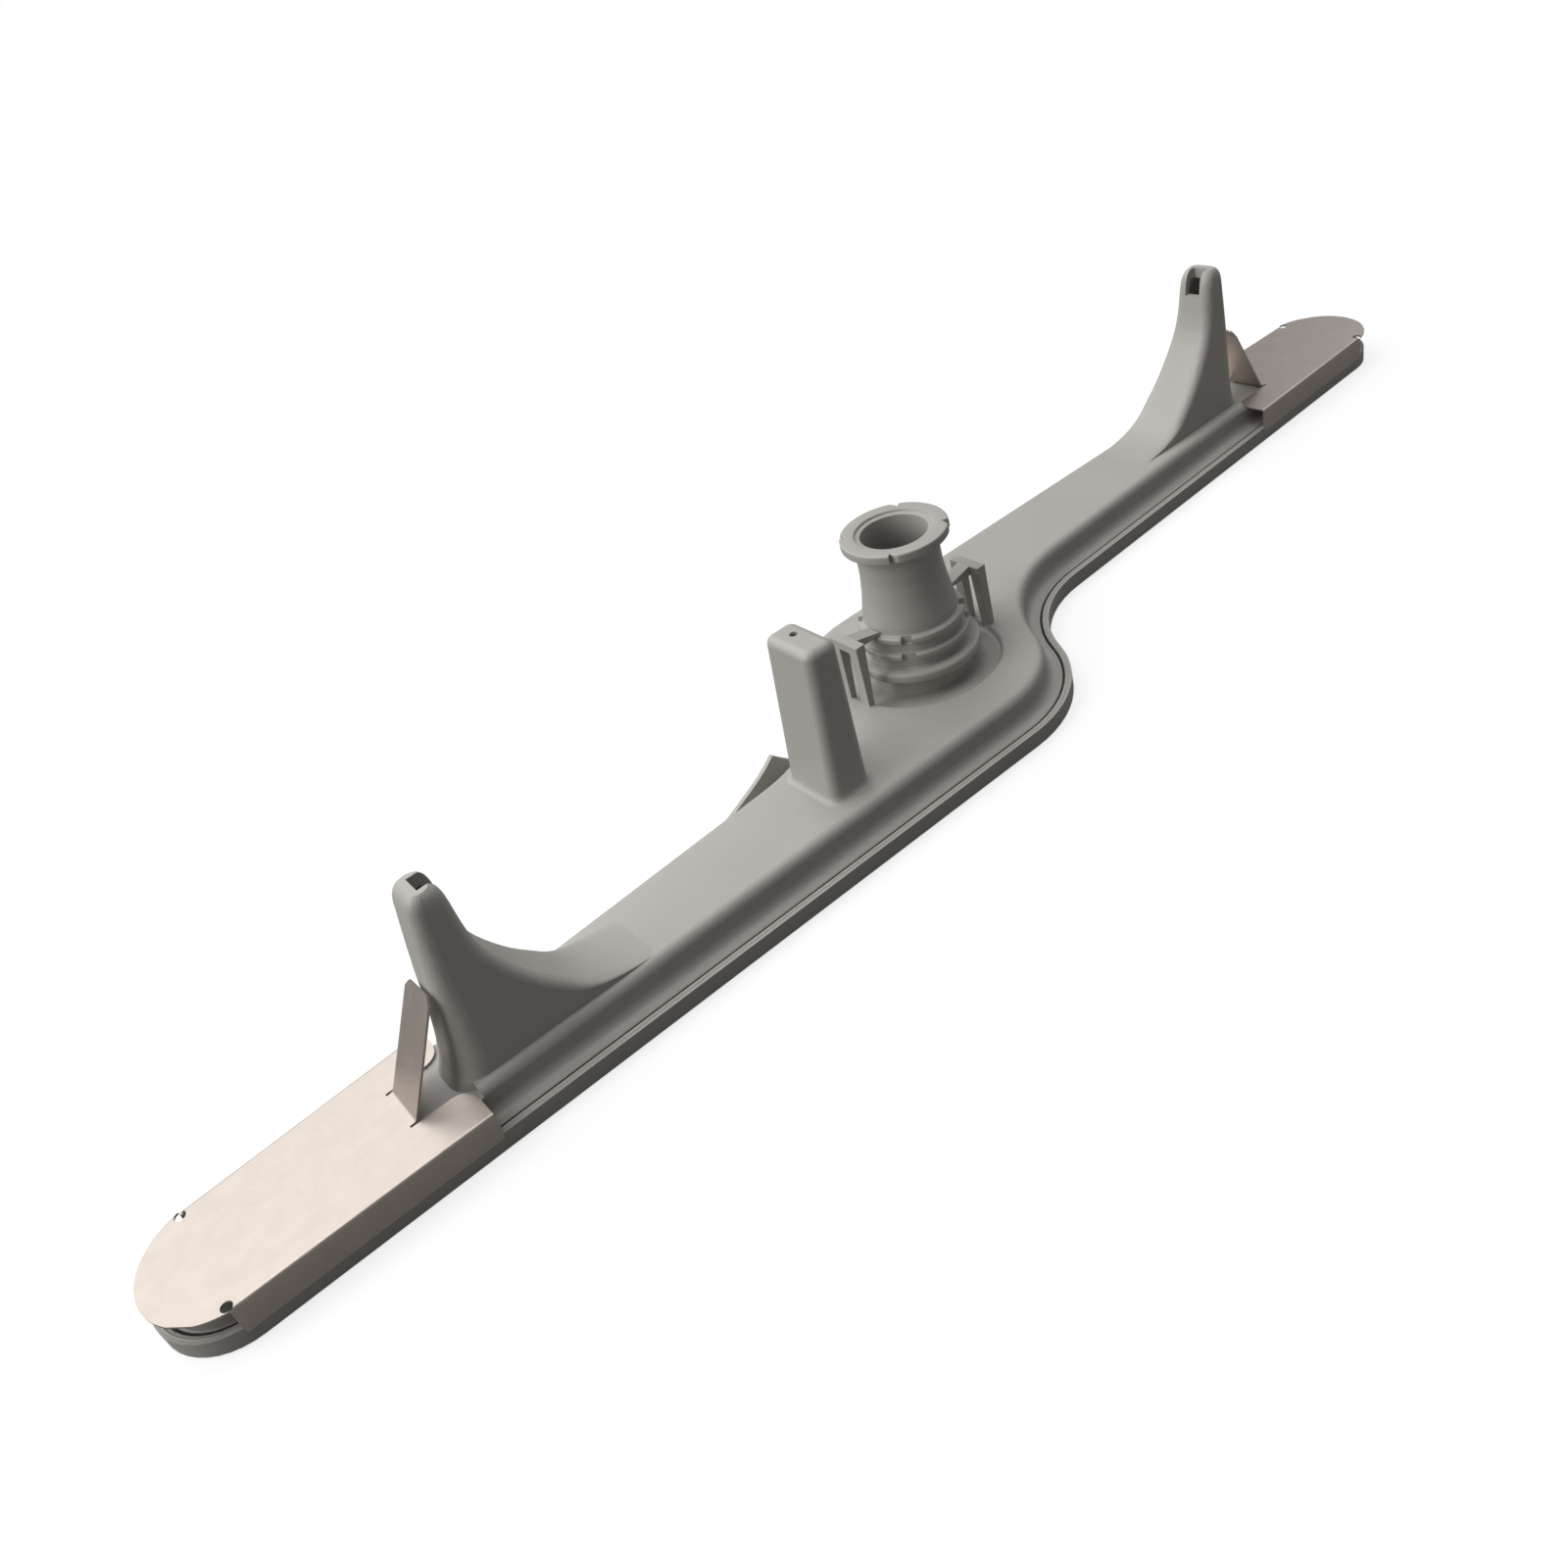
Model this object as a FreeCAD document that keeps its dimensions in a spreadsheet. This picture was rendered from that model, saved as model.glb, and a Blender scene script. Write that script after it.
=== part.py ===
import FreeCAD, Part
import math
import os
import Sketcher

os.makedirs("parts", exist_ok=True)
doc = FreeCAD.newDocument("SprayArm")
sheet = doc.addObject("Spreadsheet::Sheet", "Sizes")

# Driving dimensions in millimetres. Origin on the hub axis at the underside, +X along the arm.
sizes = {
    "half_length": 270,
    "half_width": 48.35,
    "tip_round": 18.385,
    "taper_angle": 3.43,
    "housing_round": 41.5,
    "housing_shift": 1.0,
    "neck_round": 42,
    "floor_wall": 2.0,
    "lip_top": 5.2,
    "lip_wall": 2.05,
    "groove": 0.75,
    "seat_top": 3.2,
    "seat_inset": 5.5,
    "flange_top": 4.9,
    "channel_inset": 7.3,
    "channel_top": 14.0,
    "channel_edge": 3.0,
    "channel_foot": 3.0,
    "skin": 2.0,
    "step_start": 185.8,
    "step_top": 11.4,
    "tower_inset": 19.95,
    "tower_lean": 3.8,
    "lean_start": 18,
    "tower_skin": 1.8,
    "nozzle_face": 173.6,
    "nozzle_depth": 4.8,
    "nozzle_width": 6.0,
    "nozzle_foot": 58,
    "mid_crown_round": 2.6,
    "mid_foot_round": 1.9,
    "mid_hole_round": 1.2,
    "mid_hole_line": 54.4,
    "mid_hole_inset": 29.5,
    "dish_round": 25.5,
    "dish_floor": 11.0,
    "dish_edge_round": 1.4,
    "collar_round": 16.2,
    "collar_top": 17.3,
    "socket_foot": 7.0,
    "spigot_round": 12.4,
    "spigot_play": 0.06,
    "spigot_foot": 7.5,
    "bore_round": 10.27,
    "hub_top": 60,
    "hub_flange_round": 16.46,
    "hub_flange_foot": 58,
    "hub_edge": 0.4,
    "neck_of_tube": 12.6,
    "flare_level": 44.9,
    "cone_foot_round": 14.7,
    "cone_foot": 34,
    "upper_rib_round": 16.6,
    "upper_rib_foot": 29.6,
    "upper_rib_top": 31.6,
    "lower_rib_round": 17.4,
    "lower_rib_foot": 24.4,
    "lower_rib_top": 26.4,
    "rib_edge": 0.55,
    "barrel_round": 15.9,
    "skirt_round": 19.87,
    "skirt_foot": 17.6,
    "skirt_top": 20.8,
    "gap_angle": 42,
    "upper_gap": 2.2,
    "lower_gap": 4.5,
    "notch_depth": 1.5,
    "latch_leg": 3.6,
    "latch_middle": 4.2,
    "latch_outer": 27.2,
    "latch_head": 3.4,
    "latch_foot": 1.8,
    "latch_bar": 2.6,
    "latch_top": 35,
    "nose_width": 5,
    "nose_reach": 15.1,
    "nose_foot": 31.95,
    "sheet_wall": 0.6,
    "clip_top": 12.15,
    "clip_foot": 3.4,
    "clip_start": 186.8,
    "fold_end": 254.5,
    "fold_round": 2.4,
    "tab_inset": 20.55,
    "far_tab_root": 205,
    "far_tab_lean": 25.6,
    "near_tab_root": 202,
    "near_tab_lean": 30,
    "tab_width": 14.6,
    "tab_height": 26.8,
    "tab_crown": 10.0,
    "tab_crown_round": 3.4,
    "window_half": 7.4,
    "prong_round": 5.0,
    "relief_round": 1.1,
    "end_notch_round": 1.5,
    "clip_play": 0.08,
    "fin_top": 14.7,
    "fin_wall": 1.4,
    "fin_start": 52,
    "fin_peak": 61,
    "fin_end": 85,
}
row = 1
for word, number in sizes.items():
    sheet.set("A%d" % row, word)
    sheet.set("B%d" % row, str(number))
    sheet.setAlias("B%d" % row, word)
    row += 1
doc.recompute()


def size(text):
    """Value of a sum written with the words of the sheet."""
    total = 0.0
    sign = 1.0
    for token in text.split():
        if token == "+":
            sign = 1.0
        elif token == "-":
            sign = -1.0
        else:
            total += sign * (sizes[token] if token in sizes else float(token))
            sign = 1.0
    return total


def bound(text):
    """The same sum as an expression on the sheet."""
    words = []
    for token in text.split():
        words.append("Sizes." + token if token in sizes else token)
    return " ".join(words)


def new_body(name):
    body = doc.addObject("PartDesign::Body", name)
    body.Label = name
    doc.recompute()
    return body


def origin_part(body, role):
    for feature in body.Origin.OriginFeatures:
        if feature.Role == role:
            return feature
    raise RuntimeError("no origin feature " + role)


def new_sketch(body, name, level="0", role="XY_Plane"):
    sketch = body.newObject("Sketcher::SketchObject", name)
    sketch.AttachmentSupport = [(origin_part(body, role), "")]
    sketch.MapMode = "FlatFace"
    sketch.setExpression("AttachmentOffset.Base.z", bound(level))
    return sketch


def measure(sketch, kind, parts, text):
    """One dimension of a sketch, tied to the sheet."""
    index = sketch.addConstraint(Sketcher.Constraint(kind, *parts, size(text)))
    sketch.setExpression("Constraints[%d]" % index, bound(text))


def arc(centre, radius, start, end):
    circle = Part.Circle(centre, FreeCAD.Vector(0, 0, 1), radius)
    first = math.atan2(start.y - centre.y, start.x - centre.x)
    last = math.atan2(end.y - centre.y, end.x - centre.x)
    return Part.ArcOfCircle(circle, first, last)


def outline_points(inset):
    """Tangent points and centres of one half of the arm outline, moved inward by inset."""
    turn = math.radians(sizes["taper_angle"])
    along = FreeCAD.Vector(math.cos(turn), math.sin(turn), 0)
    out = FreeCAD.Vector(math.sin(turn), -math.cos(turn), 0)
    tip = FreeCAD.Vector(size("half_length - tip_round"), size("half_width - tip_round"), 0)
    house = FreeCAD.Vector(-sizes["housing_shift"], -size("half_width - housing_round"), 0)
    reach = size("housing_round + neck_round")
    far = tip + out * size("tip_round + neck_round") - house
    run = far.dot(along) - math.sqrt(far.dot(along) ** 2 - far.dot(far) + reach ** 2)
    neck = house + far - along * run
    toward = (neck - house).normalize()
    points = {
        "house": house,
        "neck": neck,
        "tip": tip,
        "a": house + FreeCAD.Vector(0, -(sizes["housing_round"] - inset), 0),
        "b": house + toward * (sizes["housing_round"] - inset),
        "c": neck - out * (sizes["neck_round"] + inset),
        "d": tip + out * (sizes["tip_round"] - inset),
        "e": tip + FreeCAD.Vector(0, sizes["tip_round"] - inset, 0),
    }
    return points


def outline_sketch(body, name, level, inset):
    """Closed S-shaped outline of the arm, the same after half a turn about the hub axis."""
    sketch = new_sketch(body, name, level)
    gap = size(inset)
    at = outline_points(gap)
    for turn in (1, -1):
        p = {key: point * turn for key, point in at.items()}
        other = at["a"] * -turn
        sketch.addGeometry(arc(p["house"], sizes["housing_round"] - gap, p["a"], p["b"]))
        sketch.addGeometry(arc(p["neck"], sizes["neck_round"] + gap, p["c"], p["b"]))
        sketch.addGeometry(Part.LineSegment(p["c"], p["d"]))
        sketch.addGeometry(arc(p["tip"], sizes["tip_round"] - gap, p["d"], p["e"]))
        sketch.addGeometry(Part.LineSegment(p["e"], other))
    minus = inset.replace("- ", "~ ").replace("+ ", "- ").replace("~ ", "+ ")
    for first, next_half in ((0, 5), (5, 0)):
        house, neck, edge, tip, side = range(first, first + 5)
        sketch.addConstraint(Sketcher.Constraint("Tangent", house, 2, neck, 2))
        sketch.addConstraint(Sketcher.Constraint("Tangent", neck, 1, edge, 1))
        sketch.addConstraint(Sketcher.Constraint("Tangent", edge, 2, tip, 1))
        sketch.addConstraint(Sketcher.Constraint("Tangent", tip, 2, side, 1))
        sketch.addConstraint(Sketcher.Constraint("Tangent", side, 2, next_half, 1))
        measure(sketch, "Radius", (house,), "housing_round - " + minus)
        measure(sketch, "Radius", (neck,), "neck_round + " + inset)
        measure(sketch, "Radius", (tip,), "tip_round - " + minus)
    sketch.addConstraint(Sketcher.Constraint("Horizontal", 4))
    sketch.addConstraint(Sketcher.Constraint("Parallel", 2, 7))
    sketch.addConstraint(Sketcher.Constraint("Symmetric", 0, 3, 5, 3, -1, 1))
    sketch.addConstraint(Sketcher.Constraint("Symmetric", 3, 3, 8, 3, -1, 1))
    index = sketch.addConstraint(Sketcher.Constraint("Angle", 2, math.radians(sizes["taper_angle"])))
    sketch.setExpression("Constraints[%d]" % index, "Sizes.taper_angle * 1 deg")
    measure(sketch, "DistanceX", (-1, 1, 3, 3), "half_length - tip_round")
    measure(sketch, "DistanceX", (0, 3, -1, 1), "housing_shift")
    measure(sketch, "DistanceY", (-1, 1, 4, 1), "half_width - " + minus)
    doc.recompute()
    return sketch


def wedge_sketch(body, name, level, side, hub_end, tip_end):
    """Four-sided section of an end tower with rounded corners, on the far (1) or near (-1) arm.

    Each end is its place along the arm, its half width and the radius of its two corners."""
    sketch = new_sketch(body, name, level)
    hub_x, hub_half, hub_round = hub_end
    tip_x, tip_half, tip_round = tip_end
    line = "half_width - tower_inset" if side > 0 else "tower_inset - half_width"
    flank = FreeCAD.Vector(tip_x - hub_x, tip_half - hub_half, 0).normalize()
    hub_mid = hub_half - hub_round * (1 - flank.y) / flank.x
    tip_mid = tip_half - tip_round * (1 + flank.y) / flank.x
    hubward = FreeCAD.Vector(-side, 0, 0)
    low = FreeCAD.Vector(-flank.y, -flank.x, 0) * side
    high = FreeCAD.Vector(-flank.y, flank.x, 0) * side
    corners = (
        (hub_x + hub_round, -hub_mid, hub_round, hubward, low),
        (tip_x - tip_round, -tip_mid, tip_round, low, -hubward),
        (tip_x - tip_round, tip_mid, tip_round, -hubward, high),
        (hub_x + hub_round, hub_mid, hub_round, high, hubward),
    )
    spots = [FreeCAD.Vector(x * side, size(line) + y * side, 0) for x, y, r, start, end in corners]
    for index, (x, y, r, start, end) in enumerate(corners):
        spot = spots[index]
        after = corners[(index + 1) % 4]
        sketch.addGeometry(arc(spot, r, spot + start * r, spot + end * r))
        sketch.addGeometry(Part.LineSegment(spot + end * r, spots[(index + 1) % 4] + end * after[2]))
    for index in range(8):
        sketch.addConstraint(Sketcher.Constraint("Tangent", index, 2, (index + 1) % 8, 1))
    sketch.addConstraint(Sketcher.Constraint("Vertical", 3))
    sketch.addConstraint(Sketcher.Constraint("Vertical", 7))
    for index, (x, y, r, start, end) in enumerate(corners):
        measure(sketch, "Radius", (2 * index,), "%.3f" % r)
        sign = "+" if y * side > 0 else "-"
        measure(sketch, "DistanceY", (-1, 1, 2 * index, 3), "%s %s %.4f" % (line, sign, abs(y)))
        if index < 2:
            measure(sketch, "DistanceX", (-1, 1, 2 * index, 3), "%.4f" % (x * side))
    return sketch


def box_sketch(body, name, level, left, right, front, back, corner=0.0, role="XY_Plane"):
    """Rectangle between four signed sizes, with rounded corners where a radius is given."""
    sketch = new_sketch(body, name, level, role)
    x0 = size(left)
    x1 = size(right)
    y0 = size(front)
    y1 = size(back)
    r = corner
    if r:
        spots = [(x0 + r, y0, x1 - r, y0), (x1, y0 + r, x1, y1 - r)]
        spots += [(x1 - r, y1, x0 + r, y1), (x0, y1 - r, x0, y0 + r)]
    else:
        spots = [(x0, y0, x1, y0), (x1, y0, x1, y1), (x1, y1, x0, y1), (x0, y1, x0, y0)]
    for xa, ya, xb, yb in spots:
        sketch.addGeometry(Part.LineSegment(FreeCAD.Vector(xa, ya, 0), FreeCAD.Vector(xb, yb, 0)))
    for side in (0, 2):
        sketch.addConstraint(Sketcher.Constraint("Horizontal", side))
        sketch.addConstraint(Sketcher.Constraint("Vertical", side + 1))
    if r:
        centres = [(x1 - r, y0 + r), (x1 - r, y1 - r), (x0 + r, y1 - r), (x0 + r, y0 + r)]
        for index in range(4):
            centre = FreeCAD.Vector(centres[index][0], centres[index][1], 0)
            begin = FreeCAD.Vector(spots[index][2], spots[index][3], 0)
            after = spots[(index + 1) % 4]
            end = FreeCAD.Vector(after[0], after[1], 0)
            sketch.addGeometry(arc(centre, r, begin, end))
            sketch.addConstraint(Sketcher.Constraint("Tangent", index, 2, 4 + index, 1))
            sketch.addConstraint(Sketcher.Constraint("Tangent", 4 + index, 2, (index + 1) % 4, 1))
            measure(sketch, "Radius", (4 + index,), str(r))
    else:
        for index in range(4):
            sketch.addConstraint(Sketcher.Constraint("Coincident", index, 2, (index + 1) % 4, 1))
    measure(sketch, "DistanceY", (-1, 1, 0, 1), front)
    measure(sketch, "DistanceX", (-1, 1, 1, 1), right)
    measure(sketch, "DistanceY", (-1, 1, 2, 1), back)
    measure(sketch, "DistanceX", (-1, 1, 3, 1), left)
    return sketch


def shape_sketch(body, name, level, role, corners):
    """Straight-sided profile: each corner is a pair of signed sizes."""
    sketch = new_sketch(body, name, level, role)
    points = [FreeCAD.Vector(size(a), size(b), 0) for a, b in corners]
    count = len(points)
    for index in range(count):
        sketch.addGeometry(Part.LineSegment(points[index], points[(index + 1) % count]))
    for index in range(count):
        sketch.addConstraint(Sketcher.Constraint("Coincident", index, 2, (index + 1) % count, 1))
        a, b = corners[index]
        if abs(size(a)) < 1e-6:
            sketch.addConstraint(Sketcher.Constraint("PointOnObject", index, 1, -2))
        else:
            measure(sketch, "DistanceX", (-1, 1, index, 1), a)
        measure(sketch, "DistanceY", (-1, 1, index, 1), b)
    return sketch


def circle_sketch(body, name, level, x, y, radius):
    sketch = new_sketch(body, name, level)
    centre = FreeCAD.Vector(size(x), size(y), 0)
    sketch.addGeometry(Part.Circle(centre, FreeCAD.Vector(0, 0, 1), size(radius)))
    measure(sketch, "Radius", (0,), radius)
    if centre.Length < 1e-6:
        sketch.addConstraint(Sketcher.Constraint("Coincident", 0, 3, -1, 1))
    else:
        measure(sketch, "DistanceX", (-1, 1, 0, 3), x)
        measure(sketch, "DistanceY", (-1, 1, 0, 3), y)
    return sketch


def pad(body, sketch, name, length, midplane=False):
    feature = body.newObject("PartDesign::Pad", name)
    feature.Profile = sketch
    feature.Midplane = midplane
    feature.setExpression("Length", bound(length))
    doc.recompute()
    return feature


def pocket(body, sketch, name, length, upward=True, midplane=False):
    before = body.Tip.Shape.Volume
    feature = body.newObject("PartDesign::Pocket", name)
    feature.Profile = sketch
    feature.Reversed = upward
    feature.Midplane = midplane
    feature.setExpression("Length", bound(length))
    doc.recompute()
    if feature.Shape.isNull() or feature.Shape.Volume >= before - 1e-6:
        raise RuntimeError("pocket removes nothing: " + name)
    return feature


def loft(body, sections, name):
    feature = body.newObject("PartDesign::AdditiveLoft", name)
    feature.Profile = sections[0]
    feature.Sections = sections[1:]
    doc.recompute()
    return feature


def half_turn(body, features, name):
    """Copies features to the other arm, half a turn about the hub axis."""
    feature = body.newObject("PartDesign::PolarPattern", name)
    feature.Originals = features
    feature.Axis = (origin_part(body, "Z_Axis"), [""])
    feature.Angle = 360
    feature.Occurrences = 2
    body.Tip = feature
    doc.recompute()
    return feature


def round_edges(body, name, radius, test):
    """Rounds the edges of the body that pass a test of their place."""
    base = body.Tip
    names = []
    for index, edge in enumerate(base.Shape.Edges):
        if test(edge, base.Shape):
            names.append("Edge%d" % (index + 1))
    if not names:
        raise RuntimeError("no edges for " + name)
    feature = body.newObject("PartDesign::Fillet", name)
    feature.Base = (base, names)
    feature.setExpression("Radius", bound(radius))
    doc.recompute()
    return feature


def level_edge(edge, height):
    box = edge.BoundBox
    return abs(box.ZMin - height) < 1e-4 and abs(box.ZMax - height) < 1e-4


def ring_edge(edge, height, radius):
    """Whether an edge is a circle about the hub axis at a height and with a radius, both in words."""
    if not level_edge(edge, size(height)):
        return False
    return abs(getattr(edge.Curve, "Radius", 0.0) - size(radius)) < 1e-4


# Upper shell: the outside as one solid, the water space as a second one, cut from it.
outside = new_body("upper_outside")
flange = outline_sketch(outside, "flange_outline", "seat_top", "lip_wall + groove")
pad(outside, flange, "flange_pad", "flange_top - seat_top")
ridge = outline_sketch(outside, "channel_outline", "seat_top", "channel_inset")
pad(outside, ridge, "channel_pad", "channel_top - seat_top")
round_edges(outside, "channel_edges", "channel_edge",
            lambda edge, shape: level_edge(edge, sizes["channel_top"]))


def is_foot(edge, shape):
    if not level_edge(edge, sizes["flange_top"]):
        return False
    tops = [face.BoundBox.ZMax for face in shape.ancestorsOfType(edge, Part.Face)]
    return max(tops) > sizes["flange_top"] + 1


round_edges(outside, "channel_feet", "channel_foot", is_foot)
step = box_sketch(outside, "step_outline", "step_top", "step_start", "half_length", "0", "half_width")
step_cut = pocket(outside, step, "step_cut", "channel_top")
half_turn(outside, [step_cut], "step_cuts")

# End tower, one row per height: the hub end, then the tip end, each with its place, half width and
# corner radius. The hub side sweeps up from the channel, the tip side stands steep.
tower_rows = [
    (10.4, (116.0, 9.9, 3.0), (191.0, 9.2, 7.0)),
    (13.3, (122.0, 10.1, 3.0), (189.2, 9.6, 7.2)),
    (14.2, (133.0, 10.2, 3.0), (188.7, 9.7, 7.2)),
    (15.4, (140.8, 10.2, 3.0), (188.2, 9.7, 7.2)),
    (18.5, (149.5, 10.0, 3.0), (187.4, 9.6, 7.0)),
    (23.0, (154.9, 9.7, 3.0), (186.6, 9.3, 6.6)),
    (28.0, (159.8, 9.3, 3.0), (186.0, 9.0, 6.0)),
    (34.0, (164.5, 8.8, 3.0), (185.5, 8.5, 5.4)),
    (40.0, (168.3, 8.3, 3.0), (185.1, 8.1, 4.8)),
    (46.0, (171.0, 7.8, 3.0), (184.6, 7.7, 4.2)),
    (53.0, (172.4, 7.3, 3.0), (183.9, 7.2, 3.6)),
    (60.0, (173.2, 6.9, 2.9), (183.2, 6.8, 3.2)),
    (64.4, (174.2, 6.2, 2.8), (182.4, 6.1, 2.9)),
    (66.2, (175.8, 4.8, 2.2), (180.9, 4.7, 2.2)),
]


def tower_shift(height, side):
    """Lean of a tower at a height: the far one leans to the arm's tip, the near one to the hub."""
    rise = max(0.0, height - sizes["lean_start"])
    return side * rise * math.tan(math.radians(sizes["tower_lean"]))


def tower(body, name, skin, side):
    sections = []
    rows = tower_rows[:-1] if skin else tower_rows
    for index, (height, hub_end, tip_end) in enumerate(rows):
        level = height - skin
        shift = tower_shift(level, side)
        hub_cut = (hub_end[0] + shift + skin, hub_end[1] - skin, hub_end[2] - skin)
        tip_cut = (tip_end[0] + shift - skin, tip_end[1] - skin, tip_end[2] - skin)
        label = "%s_section_%d" % (name, index)
        sections.append(wedge_sketch(body, label, "%.2f" % level, side, hub_cut, tip_cut))
    return loft(body, sections, name)


tower(outside, "end_tower_far", 0.0, 1)
tower(outside, "end_tower_near", 0.0, -1)

# Middle tower, a drafted box near the hub on one arm only: height, left and right side, front and
# back side measured from the arm's front edge, corner radius.
middle_rows = [
    (9.0, -65.0, -51.0, 14.95, 36.75, 3.0),
    (60.7, -60.0, -49.4, 16.95, 36.75, 3.0),
]


def middle_tower(body, name, skin):
    sections = []
    for index, (height, left, right, front, back, corner) in enumerate(middle_rows):
        sections.append(box_sketch(body, "%s_section_%d" % (name, index), "%.2f" % (height - skin),
                                   "%.2f" % (left + skin), "%.2f" % (right - skin),
                                   "%.2f - half_width" % (front + skin),
                                   "%.2f - half_width" % (back - skin), corner - skin))
    return loft(body, sections, name)


def by_middle_tower(edge):
    box = edge.BoundBox
    front = -sizes["half_width"]
    return box.XMin > -70 and box.XMax < -45 and box.YMin > front + 11 and box.YMax < front + 43


middle_tower(outside, "mid_tower", 0.0)
round_edges(outside, "mid_crown", "mid_crown_round",
            lambda edge, shape: level_edge(edge, middle_rows[1][0]) and by_middle_tower(edge))
round_edges(outside, "mid_foot", "mid_foot_round",
            lambda edge, shape: level_edge(edge, sizes["channel_top"]) and by_middle_tower(edge))

# Dish round the hub, with the socket collar standing in it.
dish = circle_sketch(outside, "dish_ring", "dish_floor", "0", "0", "dish_round")
pocket(outside, dish, "dish_cut", "channel_top")
round_edges(outside, "dish_edges", "dish_edge_round",
            lambda edge, shape: ring_edge(edge, "channel_top", "dish_round")
            or ring_edge(edge, "dish_floor", "dish_round"))
collar = circle_sketch(outside, "collar_ring", "socket_foot", "0", "0", "collar_round")
pad(outside, collar, "collar_pad", "collar_top - socket_foot")

# Latch beside the hub: a frame of two legs, a crossbar and a nose that hooks over the upper rib.
latch_parts = []
for name, place in (("low_leg", "latch_middle"), ("high_leg", "- latch_middle")):
    leg = shape_sketch(outside, name + "_profile", place, "XZ_Plane", (
        ("latch_outer", "dish_floor - 1.5"),
        ("latch_outer", "latch_top"),
        ("latch_outer - latch_head", "latch_top"),
        ("latch_outer - latch_foot", "dish_floor - 1.5"),
    ))
    latch_parts.append(pad(outside, leg, name, "latch_leg", True))
bar = shape_sketch(outside, "bar_profile", "0", "XZ_Plane", (
    ("latch_outer", "latch_top - latch_bar"),
    ("latch_outer", "latch_top"),
    ("latch_outer - latch_head", "latch_top"),
    ("latch_outer - latch_head", "latch_top - latch_bar"),
))
latch_parts.append(pad(outside, bar, "crossbar", "latch_middle + latch_middle + latch_leg", True))
nose = shape_sketch(outside, "nose_profile", "0", "XZ_Plane", (
    ("latch_outer - latch_head + 0.5", "nose_foot"),
    ("latch_outer - latch_head + 0.5", "latch_top"),
    ("latch_outer - latch_head", "latch_top"),
    ("nose_reach", "nose_foot + 1.0"),
    ("nose_reach", "nose_foot"),
))
latch_parts.append(pad(outside, nose, "nose", "nose_width", True))
half_turn(outside, latch_parts, "latches")

# Water space: the channel, the towers and the room below the dish.
inside = new_body("upper_inside")
core = outline_sketch(inside, "core_outline", "seat_top - 1", "channel_inset + skin")
pad(inside, core, "core_pad", "channel_top - skin - seat_top + 1")
core_step = box_sketch(inside, "core_step", "step_top - skin", "step_start - skin", "half_length", "0",
                       "half_width")
core_cut = pocket(inside, core_step, "core_step_cut", "channel_top")
half_turn(inside, [core_cut], "core_step_cuts")
tower(inside, "tower_core_far", sizes["tower_skin"], 1)
tower(inside, "tower_core_near", sizes["tower_skin"], -1)
middle_tower(inside, "mid_tower_core", sizes["tower_skin"])
room = circle_sketch(inside, "room_ring", "dish_floor - skin", "0", "0", "dish_round + skin")
pocket(inside, room, "room_cut", "channel_top - dish_floor + skin")

shell_cut = doc.addObject("Part::Cut", "upper_cut")
shell_cut.Base = outside
shell_cut.Tool = inside
doc.recompute()

# Socket bore, nozzle notches open to the tower tops and the small hole of the middle tower.
socket = doc.addObject("Part::Cylinder", "socket_bore")
socket.setExpression("Radius", bound("spigot_round + spigot_play"))
socket.setExpression("Height", bound("collar_top"))
tools = [socket]
overrun = 3.0
for name, turn, side in (("nozzle_far", 0, 1), ("nozzle_near", 180, -1)):
    nozzle = doc.addObject("Part::Box", name)
    nozzle.setExpression("Length", bound("nozzle_depth + %.1f" % overrun))
    nozzle.setExpression("Width", bound("nozzle_width"))
    nozzle.Height = tower_rows[-1][0] - sizes["nozzle_foot"] + overrun
    middle = (tower_rows[-1][0] + sizes["nozzle_foot"]) / 2
    spot = FreeCAD.Vector(sizes["nozzle_face"] - overrun + tower_shift(middle, side),
                          size("half_width - tower_inset") - sizes["nozzle_width"] / 2,
                          sizes["nozzle_foot"])
    spin = FreeCAD.Rotation(FreeCAD.Vector(0, 0, 1), turn)
    nozzle.Placement = FreeCAD.Placement(spin.multVec(spot), spin)
    tools.append(nozzle)
pin_hole = doc.addObject("Part::Cylinder", "mid_hole")
pin_hole.setExpression("Radius", bound("mid_hole_round"))
pin_hole.Height = 2 * overrun + sizes["tower_skin"]
pin_hole.Placement.Base = FreeCAD.Vector(-sizes["mid_hole_line"], size("mid_hole_inset - half_width"),
                                         middle_rows[1][0] - sizes["tower_skin"] - overrun)
tools.append(pin_hole)
tool_set = doc.addObject("Part::MultiFuse", "shell_tools")
tool_set.Shapes = tools
upper_shell = doc.addObject("Part::Cut", "upper_shell")
upper_shell.Base = shell_cut
upper_shell.Tool = tool_set
upper_shell.Label = "upper_shell"
doc.recompute()

# Lower shell: a shallow tray with a seat for the flange and an upstanding lip round it.
tray = new_body("lower_tray")
base = outline_sketch(tray, "base_outline", "0", "0")
pad(tray, base, "base_pad", "lip_top")
seat = outline_sketch(tray, "seat_outline", "seat_top", "lip_wall")
pocket(tray, seat, "seat_cut", "lip_top")
hollow = outline_sketch(tray, "hollow_outline", "floor_wall", "seat_inset")
pocket(tray, hollow, "hollow_cut", "lip_top")
tray.Tip.Label = "tray_hollow"


def edge_y(x, inset):
    """Place of the tapered inner edge of the far arm at x, moved inward by inset."""
    turn = math.radians(sizes["taper_angle"])
    at = outline_points(0.0)["d"]
    return at.y + (x - at.x) * math.tan(turn) + inset / math.cos(turn)


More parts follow.
